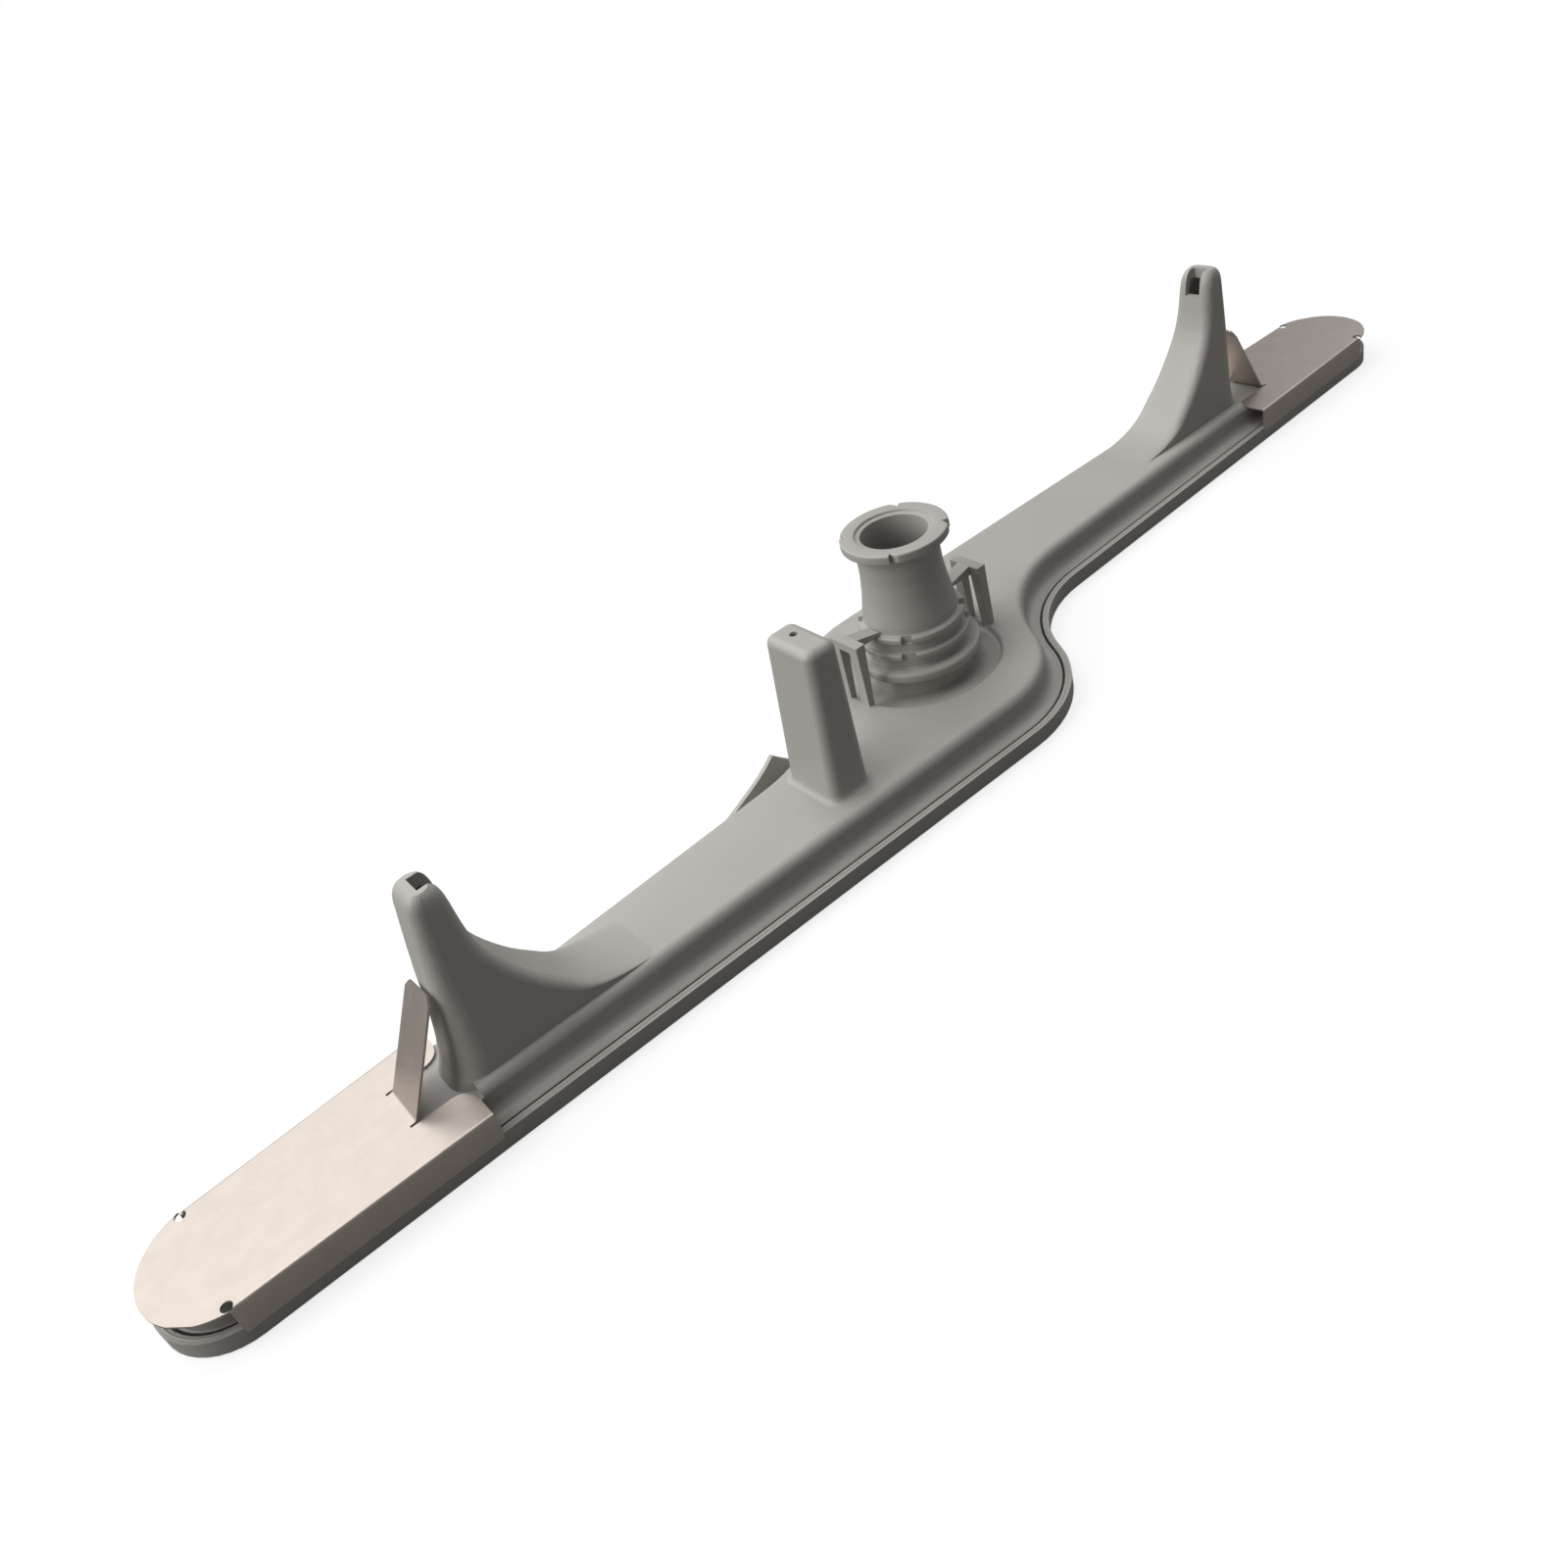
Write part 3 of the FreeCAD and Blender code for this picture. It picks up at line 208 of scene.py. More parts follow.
def plasticSkin(name, seam=False, ring=None, film=False):
    mat, tree = newMaterial(name)
    spot = addNode(tree, "ShaderNodeTexCoord", at=(-1300, 0))
    cloud = addNode(tree, "ShaderNodeTexNoise",
                    {"Scale": plastic["cloud"], "Detail": 4.0, "Roughness": 0.6},
                    {"Vector": spot.outputs["Object"]}, (-1000, 250))
    tint = addNode(tree, "ShaderNodeMix", {"data_type": "RGBA", 6: hexColour(plastic["dark"]),
                   7: hexColour(plastic["light"])}, {"Factor": cloud.outputs["Fac"]}, (-700, 250))
    colour = tint.outputs[2]
    if seam:  # painted shade: the floor of the seam is painted near black, where it lies in shade
        split = addNode(tree, "ShaderNodeSeparateXYZ", None, {0: spot.outputs["Object"]}, (-1000, 0))
        facing = addNode(tree, "ShaderNodeNewGeometry", at=(-1300, -250))
        upward = addNode(tree, "ShaderNodeSeparateXYZ", None, {0: facing.outputs["Normal"]}, (-1000, -150))
        low = addNode(tree, "ShaderNodeMath", {"operation": "LESS_THAN", 1: plastic["seamTop"]},
                      {0: split.outputs["Z"]}, (-800, 0))
        flat = addNode(tree, "ShaderNodeMath", {"operation": "GREATER_THAN", 1: plastic["lookingUp"]},
                       {0: upward.outputs["Z"]}, (-800, -150))
        both = addNode(tree, "ShaderNodeMath", {"operation": "MULTIPLY"}, {0: low.outputs[0],
                       1: flat.outputs[0]}, (-600, -50))
        paintedShade = addNode(tree, "ShaderNodeMix", {"data_type": "RGBA", 7: hexColour(plastic["seamShade"])},
                       {"Factor": both.outputs[0], 6: colour}, (-400, 150))
        colour = paintedShade.outputs[2]
    if film:  # painted shade, deeper down the bore
        split = addNode(tree, "ShaderNodeSeparateXYZ", None, {0: spot.outputs["Object"]}, (-1000, 0))
        flat = addNode(tree, "ShaderNodeCombineXYZ", None, {0: split.outputs["X"], 1: split.outputs["Y"]},
                       (-900, -100))
        away = addNode(tree, "ShaderNodeVectorMath", {"operation": "LENGTH"}, {0: flat.outputs[0]},
                       (-800, -100))
        within = addNode(tree, "ShaderNodeMath", {"operation": "LESS_THAN", 1: bore["radius"]},
                         {0: away.outputs["Value"]}, (-700, -100))
        deep = addNode(tree, "ShaderNodeMapRange", {"From Min": bore["mouth"], "From Max": bore["depth"],
                       "To Max": bore["share"]}, {"Value": split.outputs["Z"]}, (-700, -250))
        both = addNode(tree, "ShaderNodeMath", {"operation": "MULTIPLY"}, {0: within.outputs[0],
                       1: deep.outputs[0]}, (-600, -50))
        paintedShade = addNode(tree, "ShaderNodeMix", {"data_type": "RGBA", 7: hexColour(bore["film"])},
                       {"Factor": both.outputs[0], 6: colour}, (-400, 150))
        colour = paintedShade.outputs[2]
    grain = addNode(tree, "ShaderNodeTexNoise", {"Scale": plastic["grain"], "Detail": 2.0},
                    {"Vector": spot.outputs["Object"]}, (-1000, -400))
    height = grain.outputs["Fac"]
    if ring:  # witness ring of an ejector pin
        centre = addNode(tree, "ShaderNodeVectorMath", {"operation": "DISTANCE", 1: ring["centre"]},
                         {0: spot.outputs["Object"]}, (-1000, -600))
        band = addNode(tree, "ShaderNodeMath",
                       {"operation": "COMPARE", 1: ring["radius"], 2: ring["width"]},
                       {0: centre.outputs["Value"]}, (-800, -600))
        height = addNode(tree, "ShaderNodeMath", {"operation": "MULTIPLY_ADD", 1: ring["depth"]},
                         {0: band.outputs[0], 2: grain.outputs["Fac"]}, (-600, -500)).outputs[0]
    bump = addNode(tree, "ShaderNodeBump", {"Strength": plastic["bump"], "Distance": plastic["bumpHeight"]},
                   {"Height": height}, (-400, -400))
    skin = addNode(tree, "ShaderNodeBsdfPrincipled", {"Roughness": plastic["rough"], "IOR": plastic["ior"]},
                   {"Base Color": colour, "Normal": bump.outputs[0]}, (-200, 0))
    addNode(tree, "ShaderNodeOutputMaterial", None, {"Surface": skin.outputs[0]}, (100, 0))
    return mat


shellMat = plasticSkin("moulded polypropylene shell", ring=ejector)
trayMat = plasticSkin("moulded polypropylene tray", seam=True)
hubMat = plasticSkin("moulded polypropylene hub", film=True)

# Cold-rolled stainless sheet: dull mill finish, soft clouds about 6 mm across, and fine streaks of about
# 1 mm by 8 mm along the rolling direction.
sheetSteel = {
    "dark": "ADA49C",
    "light": "BDB4AD",
    "smooth": 0.36,
    "dull": 0.5,
    "streak": 120.0,
    "stretch": (1.0, 8.0, 8.0),
    "mottle": 160.0,
    "bump": 0.1,
    "bumpHeight": 0.2 * mm,
}
steelMat, tree = newMaterial("rolled stainless sheet")
spot = addNode(tree, "ShaderNodeTexCoord", at=(-1300, 0))
mapping = addNode(tree, "ShaderNodeMapping", {"Scale": sheetSteel["stretch"]},
                  {"Vector": spot.outputs["Object"]}, (-1100, -100))
streak = addNode(tree, "ShaderNodeTexNoise", {"Scale": sheetSteel["streak"], "Detail": 4.0},
                 {"Vector": mapping.outputs[0]}, (-900, -150))
mottle = addNode(tree, "ShaderNodeTexNoise",
                 {"Scale": sheetSteel["mottle"], "Detail": 5.0, "Roughness": 0.65},
                 {"Vector": spot.outputs["Object"]}, (-900, 200))
tint = addNode(tree, "ShaderNodeMix", {"data_type": "RGBA", 6: hexColour(sheetSteel["dark"]),
               7: hexColour(sheetSteel["light"])}, {"Factor": mottle.outputs["Fac"]}, (-600, 200))
rough = addNode(tree, "ShaderNodeMapRange",
                {"To Min": sheetSteel["smooth"], "To Max": sheetSteel["dull"]},
                {"Value": streak.outputs["Fac"]}, (-600, -100))
bump = addNode(tree, "ShaderNodeBump",
               {"Strength": sheetSteel["bump"], "Distance": sheetSteel["bumpHeight"]},
               {"Height": streak.outputs["Fac"]}, (-600, -350))
metal = addNode(tree, "ShaderNodeBsdfPrincipled", {"Metallic": 1.0}, {"Base Color": tint.outputs[2],
                "Roughness": rough.outputs[0], "Normal": bump.outputs[0]}, (-300, 0))
addNode(tree, "ShaderNodeOutputMaterial", None, {"Surface": metal.outputs[0]}, (0, 0))

# Painted shade in the weld seam: a near-black, dull strip laid in the groove where the gap lies in shade,
# in specks about 1 mm across.
seamGapShade = {"dark": "0F0D0A", "light": "2A2620", "speck": 900.0, "rough": 0.8}
seamGapShadeMat, tree = newMaterial("painted seam shade")
spot = addNode(tree, "ShaderNodeTexCoord", at=(-900, 0))
speck = addNode(tree, "ShaderNodeTexNoise", {"Scale": seamGapShade["speck"], "Detail": 3.0},
                {"Vector": spot.outputs["Object"]}, (-700, 0))
tint = addNode(tree, "ShaderNodeMix", {"data_type": "RGBA", 6: hexColour(seamGapShade["dark"]),
               7: hexColour(seamGapShade["light"])}, {"Factor": speck.outputs["Fac"]}, (-500, 0))
shadeSkin = addNode(tree, "ShaderNodeBsdfPrincipled", {"Roughness": seamGapShade["rough"]},
                {"Base Color": tint.outputs[2]}, (-200, 0))
addNode(tree, "ShaderNodeOutputMaterial", None, {"Surface": shadeSkin.outputs[0]}, (100, 0))

for node, mat in (("upper_shell", shellMat), ("lower_shell", trayMat), ("hub_tube", hubMat),
                  ("end_clip_near", steelMat), ("end_clip_far", steelMat)):
    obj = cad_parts[node]
    for s in obj.material_slots:
        s.material = mat
    if not obj.material_slots:
        obj.data.materials.append(mat)
print("materials assigned")


# Helpers for pieces that follow a path or a rule
hubCrease, beadCrease, clipCrease = 0.6, 1.2, math.radians(32)  # edges that bend by more stay sharp


def newTree(name, inputs):
    tree = bpy.data.node_groups.new(name, "GeometryNodeTree")
    tree.interface.new_socket(name="Geometry", in_out="OUTPUT", socket_type="NodeSocketGeometry")
    tree.interface.new_socket(name="Geometry", in_out="INPUT", socket_type="NodeSocketGeometry")
    for word, kind in inputs:
        tree.interface.new_socket(name=word, in_out="INPUT", socket_type="NodeSocket" + kind)
    return tree, addNode(tree, "NodeGroupInput", at=(-1600, 0)).outputs


def closeTree(tree, geometry, material, sharpAngle):  # shading, then the two nodes that end each tree
    bend = addNode(tree, "GeometryNodeInputMeshEdgeAngle", at=(600, -300))
    hard = addNode(tree, "ShaderNodeMath", {"operation": "GREATER_THAN", 1: sharpAngle},
                   {0: bend.outputs["Unsigned Angle"]}, (750, -300))
    smooth = addNode(tree, "GeometryNodeSetShadeSmooth", {"domain": "FACE"}, {0: geometry}, (800, 0))
    crease = addNode(tree, "GeometryNodeSetShadeSmooth", {"domain": "EDGE", 2: False},
                     {0: smooth.outputs[0], 1: hard.outputs[0]}, (950, 0))
    real = addNode(tree, "GeometryNodeRealizeInstances", None, {0: crease.outputs[0]}, (1100, 0))
    paint = addNode(tree, "GeometryNodeSetMaterial", None,
                    {0: real.outputs[0], "Material": material}, (1250, 0))
    addNode(tree, "NodeGroupOutput", None, {0: paint.outputs[0]}, (1400, 0))


def bakeTree(name, mesh, tree, values, body):
    obj = bpy.data.objects.new(name, mesh)
    bpy.context.scene.collection.objects.link(obj)
    mod = obj.modifiers.new("shape", "NODES")
    mod.node_group = tree
    for item in tree.interface.items_tree:
        if item.in_out == "INPUT" and item.name in values:
            mod[item.identifier] = values[item.name]
    bpy.context.view_layer.update()
    solved = obj.evaluated_get(bpy.context.evaluated_depsgraph_get())
    made = bpy.data.meshes.new_from_object(solved)
    obj.modifiers.remove(mod)
    obj.data = made
    made.name = name
    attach(obj, body)
    return obj


def loopMesh(name, points):  # closed line through the points
    mesh = bpy.data.meshes.new(name)
    mesh.from_pydata(points, [(i, (i + 1) % len(points)) for i in range(len(points))], [])
    return mesh


# Feed hub, turned about its axis, then notched and gapped by a rule
hub = {
    "ringRadius": 12.0 * mm,
    "steps": 480,
    "gapAngle": math.radians(42),
    "notchWidth": math.radians(9.5),
    "notchDepth": 1.9 * mm,
    "rimFoot": 56.3 * mm,
    "rimInner": 14.5 * mm,
    "upperRib": 30.6 * mm,
    "upperRoot": 14.7 * mm,
    "upperGap": 3.4 * mm,
    "lowerRib": 25.4 * mm,
    "lowerRoot": 15.9 * mm,
    "lowerGap": 4.5 * mm,
    "ribReach": 1.2 * mm,  # half height that a gap cuts through
    "gapShare": 0.96,  # how much of the rib the gap takes
    "profile": [  # radius, height, corner radius, in mm
        (10.27, 7.5, 0.3), (12.4, 7.5, 0.3), (12.4, 17.6, 0.2), (19.87, 17.6, 1.0), (19.87, 20.8, 1.2),
        (15.9, 21.1, 0.4), (15.9, 24.4, 0.25), (17.4, 24.4, 0.45), (17.4, 26.4, 0.7), (15.6, 26.4, 0.2),
        (15.4, 29.6, 0.2), (16.6, 29.6, 0.4), (16.6, 31.6, 0.7), (14.7, 31.8, 0.3), (14.6, 34.0, 2.0),
        (13.5, 40.0, 6.0), (12.7, 47.0, 6.0), (12.6, 54.3, 2.0), (13.3, 56.2, 1.0), (14.9, 57.2, 0.5),
        (16.46, 57.2, 0.5), (16.46, 60.0, 0.55), (12.1, 60.0, 0.15), (11.9, 59.3, 0.15), (10.27, 59.3, 0.4),
    ],
}


def asWords(key):  # ringRadius to Ring Radius
    return "".join(" " + c if c.isupper() else c for c in key).title()


def roundedLoop(corners, pieces=4, most=0.48):  # smooth bends, each on at most that share of a side
    out = []
    for i, (x, y, r) in enumerate(corners):
        here = Vector((x, y))
        before = Vector(corners[i - 1][:2]) - here
        after = Vector(corners[(i + 1) % len(corners)][:2]) - here
        half = before.angle(after) / 2
        reach = min(r / math.tan(half), before.length * most, after.length * most)
        start = here + before.normalized() * reach
        end = here + after.normalized() * reach
        for k in range(pieces + 1):
            t = k / pieces
            out.append(start * (1 - t) ** 2 + here * 2 * t * (1 - t) + end * t ** 2)
    return out


hubSizes = {asWords(key): value for key, value in hub.items() if key != "profile"}
sockets = [(word, "Int" if isinstance(value, int) else "Float") for word, value in hubSizes.items()]
tree, given = newTree("turned hub", sockets + [("Material", "Material")])
outline = addNode(tree, "GeometryNodeMeshToCurve", None, {0: given["Geometry"]}, (-1300, 200))
ring = addNode(tree, "GeometryNodeCurvePrimitiveCircle", None, {"Resolution": given["Steps"],
               "Radius": given["Ring Radius"]}, (-1300, 0))
upright = addNode(tree, "GeometryNodeSetCurveNormal", {"mode": "Z_UP"}, {0: ring.outputs[0]}, (-1100, 0))
turned = addNode(tree, "GeometryNodeCurveToMesh", None,
                 {0: upright.outputs[0], 1: outline.outputs[0]}, (-900, 100))
where = addNode(tree, "GeometryNodeInputPosition", at=(-1300, -300))
split = addNode(tree, "ShaderNodeSeparateXYZ", None, {0: where.outputs[0]}, (-1150, -300))
flat = addNode(tree, "ShaderNodeVectorMath", {"operation": "MULTIPLY", 1: (1, 1, 0)},
               {0: where.outputs[0]}, (-1150, -450))
radius = addNode(tree, "ShaderNodeVectorMath", {"operation": "LENGTH"}, {0: flat.outputs[0]}, (-1000, -450))
absX = addNode(tree, "ShaderNodeMath", {"operation": "ABSOLUTE"}, {0: split.outputs["X"]}, (-1000, -250))
absY = addNode(tree, "ShaderNodeMath", {"operation": "ABSOLUTE"}, {0: split.outputs["Y"]}, (-1000, -350))
angle = addNode(tree, "ShaderNodeMath", {"operation": "ARCTAN2"},
                {0: absY.outputs[0], 1: absX.outputs[0]}, (-850, -300))
past = addNode(tree, "ShaderNodeMath", {"operation": "SUBTRACT"},
               {0: angle.outputs[0], 1: given["Gap Angle"]}, (-700, -300))
slope = addNode(tree, "ShaderNodeMapRange", {"To Max": 0.0}, {"Value": past.outputs[0],
                "From Max": given["Notch Width"], "To Min": given["Notch Depth"]}, (-500, -200))
begun = addNode(tree, "ShaderNodeMath", {"operation": "GREATER_THAN", 1: 0.0}, {0: past.outputs[0]},
                (-500, -400))
high = addNode(tree, "ShaderNodeMath", {"operation": "GREATER_THAN"}, {0: split.outputs["Z"],
               1: given["Rim Foot"]}, (-500, -550))
outer = addNode(tree, "ShaderNodeMath", {"operation": "GREATER_THAN"}, {0: radius.outputs["Value"],
                1: given["Rim Inner"]}, (-500, -700))
cut = slope.outputs[0]
for step, part in enumerate((begun, high, outer)):
    cut = addNode(tree, "ShaderNodeMath", {"operation": "MULTIPLY"}, {0: cut, 1: part.outputs[0]},
                  (-300 + 120 * step, -300)).outputs[0]
arc = addNode(tree, "ShaderNodeMath", {"operation": "ABSOLUTE"}, {0: past.outputs[0]}, (-500, -900))
run = addNode(tree, "ShaderNodeMath", {"operation": "MULTIPLY"}, {0: arc.outputs[0],
              1: radius.outputs["Value"]}, (-350, -900))
for rib in ("Upper", "Lower"):  # each rib loses what stands over its root inside the gap
    half = addNode(tree, "ShaderNodeMath", {"operation": "MULTIPLY", 1: 0.5}, {0: given[rib + " Gap"]},
                   (-350, -1050))
    inside = addNode(tree, "ShaderNodeMath", {"operation": "LESS_THAN"}, {0: run.outputs[0],
                     1: half.outputs[0]}, (-200, -1000))
    band = addNode(tree, "ShaderNodeMath", {"operation": "COMPARE"}, {0: split.outputs["Z"],
                   1: given[rib + " Rib"], 2: given["Rib Reach"]}, (-200, -1150))
    over = addNode(tree, "ShaderNodeMath", {"operation": "SUBTRACT"}, {0: radius.outputs["Value"],
                   1: given[rib + " Root"]}, (-200, -1300))
    proud = addNode(tree, "ShaderNodeMath", {"operation": "MULTIPLY", "use_clamp": True},
                    {0: over.outputs[0], 1: given["Gap Share"]}, (-50, -1300))
    gone = addNode(tree, "ShaderNodeMath", {"operation": "MULTIPLY"}, {0: inside.outputs[0],
                   1: band.outputs[0]}, (-50, -1050))
    bite = addNode(tree, "ShaderNodeMath", {"operation": "MULTIPLY_ADD"}, {0: gone.outputs[0],
                   1: proud.outputs[0], 2: cut}, (100, -1000))
    cut = bite.outputs[0]
left = addNode(tree, "ShaderNodeMath", {"operation": "SUBTRACT"}, {0: radius.outputs["Value"], 1: cut},
               (250, -500))
shrink = addNode(tree, "ShaderNodeMath", {"operation": "DIVIDE"}, {0: left.outputs[0],
                 1: radius.outputs["Value"]}, (350, -500))
factors = addNode(tree, "ShaderNodeCombineXYZ", {"Z": 1.0},
                  {"X": shrink.outputs[0], "Y": shrink.outputs[0]}, (450, -500))
moved = addNode(tree, "ShaderNodeVectorMath", {"operation": "MULTIPLY"}, {0: where.outputs[0],
                1: factors.outputs[0]}, (550, -500))
shaped = addNode(tree, "GeometryNodeSetPosition", None,
                 {0: turned.outputs[0], "Position": moved.outputs[0]}, (650, 0))
closeTree(tree, shaped.outputs[0], given["Material"], hubCrease)

# Curve to Mesh lays the loop's x outwards and its y downwards, so the height is turned over
section = [(p.x * mm - hub["ringRadius"], -p.y * mm, 0) for p in reversed(roundedLoop(hub["profile"]))]
profileMesh = loopMesh("hubProfile", section)
hubPiece = bakeTree("feedHub", profileMesh, tree, {**hubSizes, "Material": hubMat}, "hub")
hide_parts("hub_tube")
print("feed hub turned:", len(hubPiece.data.polygons), "faces")

# Outline of the arm, the same after half a turn, which the beads and weld nibs follow
arm = {
    "halfLength": 270.0,
    "halfWidth": 48.35,
    "tipRound": 18.385,
    "taper": math.radians(3.43),
    "housingRound": 41.5,
    "housingShift": 1.0,
    "neckRound": 42.0,
    "lipWall": 2.05,
    "groove": 0.75,
    "lipTop": 5.2,
    "flangeTop": 4.9,
}


def arcPoints(centre, radius, first, last, step=math.radians(2.5)):
    count = max(2, round(abs(last - first) / step))
    turns = [first + (last - first) * k / count for k in range(count + 1)]
    return [centre + Vector((math.cos(a), math.sin(a))) * radius for a in turns]


def tipCentre():
    return Vector((arm["halfLength"] - arm["tipRound"], arm["halfWidth"] - arm["tipRound"]))


def armOutline(inset):
    out = Vector((math.sin(arm["taper"]), -math.cos(arm["taper"])))
    along = Vector((math.cos(arm["taper"]), math.sin(arm["taper"])))
    tip = tipCentre()
    house = Vector((-arm["housingShift"], arm["housingRound"] - arm["halfWidth"]))
    reach = arm["housingRound"] + arm["neckRound"]
    far = tip + out * (arm["tipRound"] + arm["neckRound"]) - house
    ahead = far.dot(along)
    neck = house + far - along * (ahead - math.sqrt(ahead ** 2 - far.dot(far) + reach ** 2))
    toward = math.atan2(neck.y - house.y, neck.x - house.x)
    outTurn = math.atan2(out.y, out.x)
    half = arcPoints(house, arm["housingRound"] - inset, -math.pi / 2, toward)
    half += arcPoints(neck, arm["neckRound"] + inset, toward + math.pi, outTurn + math.pi)[1:]
    half += arcPoints(tip, arm["tipRound"] - inset, outTurn, math.pi / 2)
    return half + [-p for p in half]


def railMesh(name, inset, height):
    return loopMesh(name, [(p.x * mm, p.y * mm, height * mm) for p in armOutline(inset)])


tree, given = newTree("edge bead", [("Bead Radius", "Float"), ("Material", "Material")])
rail = addNode(tree, "GeometryNodeMeshToCurve", None, {0: given["Geometry"]}, (-1300, 0))
upright = addNode(tree, "GeometryNodeSetCurveNormal", {"mode": "Z_UP"}, {0: rail.outputs[0]}, (-1100, 0))
bead = addNode(tree, "GeometryNodeCurvePrimitiveCircle", {"Resolution": 10},
               {"Radius": given["Bead Radius"]}, (-1100, -200))
swept = addNode(tree, "GeometryNodeCurveToMesh", None, {0: upright.outputs[0], 1: bead.outputs[0]},
                (-900, 0))
closeTree(tree, swept.outputs[0], given["Material"], beadCrease)

beads = [  # name, inset, height, radius in mm, material
    ("lipBead", 1.2, arm["lipTop"] - 0.12, 0.3, shellMat),
    ("flangeBead", arm["lipWall"] + arm["groove"] + 0.65, arm["flangeTop"] - 0.08, 0.3, shellMat),
    # painted shade: a near-black strip in the groove stands for the shade of the gap
    ("seamShadeStrip", arm["lipWall"] + arm["groove"] / 2, arm["flangeTop"] - 0.5, 0.72, seamGapShadeMat),
]
for name, inset, height, radius, mat in beads:
    bakeTree(name, railMesh(name, inset, height), tree,
             {"Bead Radius": radius * mm, "Material": mat}, "arm")
print("edge beads laid")

# Weld nibs that bridge the seam at a few places
nibs = {
    "places": [(31.6, -28.7), (18.5, -39.1), (-30.6, -44.8)],
    "length": 1.3 * mm,
    "width": 0.62 * mm,
    "height": 0.5 * mm,
    "sink": 0.35,  # mm from the flange's top to a nib's middle
}
tree, given = newTree("weld nibs", [("Length", "Float"), ("Width", "Float"), ("Height", "Float"),
                                    ("Material", "Material")])
ball = addNode(tree, "GeometryNodeMeshUVSphere", {"Segments": 12, "Rings": 8, "Radius": 1.0},
               at=(-1300, -200))
sizes = addNode(tree, "ShaderNodeCombineXYZ", None, {"X": given["Length"], "Y": given["Width"],
                "Z": given["Height"]}, (-1300, -400))
heading = addNode(tree, "GeometryNodeInputNamedAttribute", {"data_type": "FLOAT", "Name": "heading"},
                  at=(-1300, -600))
spin = addNode(tree, "ShaderNodeCombineXYZ", None, {"Z": heading.outputs[0]}, (-1100, -600))
dots = addNode(tree, "GeometryNodeMeshToPoints", None, {0: given["Geometry"]}, (-1100, 0))
placed = addNode(tree, "GeometryNodeInstanceOnPoints", None,
                 {0: dots.outputs[0], "Instance": ball.outputs[0], "Rotation": spin.outputs[0],
                  "Scale": sizes.outputs[0]}, (-900, 0))
closeTree(tree, placed.outputs[0], given["Material"], beadCrease)

seam = armOutline(arm["lipWall"] + arm["groove"] / 2)
nibPoints, nibTurns = [], []
for x, y in nibs["places"]:
    k = min(range(len(seam)), key=lambda i: (seam[i] - Vector((x, y))).length)
    way = seam[(k + 1) % len(seam)] - seam[k - 1]
    nibPoints.append((seam[k].x * mm, seam[k].y * mm, (arm["flangeTop"] - nibs["sink"]) * mm))
    nibTurns.append(math.atan2(way.y, way.x))
nibMesh = bpy.data.meshes.new("weldNibs")
nibMesh.from_pydata(nibPoints, [], [])
nibMesh.attributes.new("heading", "FLOAT", "POINT").data.foreach_set("value", nibTurns)
bakeTree("weldNibs", nibMesh, tree, {"Length": nibs["length"], "Width": nibs["width"],
         "Height": nibs["height"], "Material": shellMat}, "arm")
print("weld nibs set")

# End clips, folded from one sheet with a tab lanced out of the plate, in mm on the far arm
clip = {
    "sheet": 0.6,
    "top": 12.15,
    "foot": 3.4,
    "start": 186.8,
    "end": 254.5,
    "fold": 0.9,
    "tabLine": 27.8,
    "windowHalf": 7.6,
    "prongRound": 5.2,
    "slotReach": 0.6,  # how far the relief slots run past the tab's root
    "jointHalf": 6.75,
    "endNotch": 1.5,
    "notchInset": 1.6,
    "bend": 1.3,
    "stations": 26,  # points along the plate and the walls
    "capStations": 8,
    "foldSteps": 6,
    "bendSteps": 5,
    "tabSteps": 24,
    "tabSide": 4,  # columns each side of the tab's middle
    "wallHeights": (5.5, 7.5),
    "notchLines": (1.1, 1.4, 1.8, 2.2, 2.6, 2.9, 3.05, 3.12),  # distance of rows from the walls
    "capLines": (0.02, 0.08, 0.12, 0.3, 0.6, 0.9),  # more of them beyond the notches
    "prongTurns": (60, 45, 33, 22, 12, 5),  # degrees of the rows round a prong's end
    "slotTurns": (20, 50, 90, 130, 160),
    "hair": 0.01,  # between a slot's side and the row next to it
    "weld": 0.006,
    "least": 0.004,  # edges shorter than this go
}
tabs = {
    "near": {"root": 202.0, "lean": 30.0, "length": 31.6, "crownHalf": 6.4, "frontRise": 0.4,
             "crownRound": 2.0},
    "far": {"root": 205.0, "lean": 25.6, "length": 29.7, "crownHalf": 5.2, "frontRise": 0.0,
            "crownRound": 3.2},
}


def spaced(first, last, count):
    return [first + (last - first) * k / (count - 1) for k in range(count)]


def innerEdge(x):  # tapered side of the far arm
    out = Vector((math.sin(arm["taper"]), -math.cos(arm["taper"])))
    corner = tipCentre() + out * arm["tipRound"]
    return corner.y + (x - corner.x) * math.tan(arm["taper"])


def plateStart(y, root):  # hub side of the plate at y: prongs, relief slots and the tab's root
    d = abs(y - clip["tabLine"])
    w, r = clip["windowHalf"], clip["prongRound"]
    if d >= w + r:
        return clip["start"]
    if d >= w:
        return clip["start"] + r - math.sqrt(r * r - (r - (d - w)) ** 2)
    if d > clip["jointHalf"]:
        half = (w - clip["jointHalf"]) / 2
        off = d - clip["jointHalf"] - half
        return root + clip["slotReach"] + math.sqrt(max(0.0, half * half - off * off))
    return root


def notchReach(y):  # half length of the end notches at y
    for centre in (innerEdge(clip["end"]) + clip["notchInset"], arm["halfWidth"] - clip["notchInset"]):
        if abs(y - centre) < clip["endNotch"]:
            return math.sqrt(clip["endNotch"] ** 2 - (y - centre) ** 2)
    return 0.0


def capReach(y):  # rounded end of the plate
    low, high = innerEdge(clip["end"]), arm["halfWidth"]
    half, rise = (high - low) / 2, arm["halfLength"] - clip["end"]
    r = (half * half + rise * rise) / (2 * rise)
    off = min(abs(y - (low + high) / 2), half)
    return clip["end"] - (r - rise) + math.sqrt(r * r - off * off)


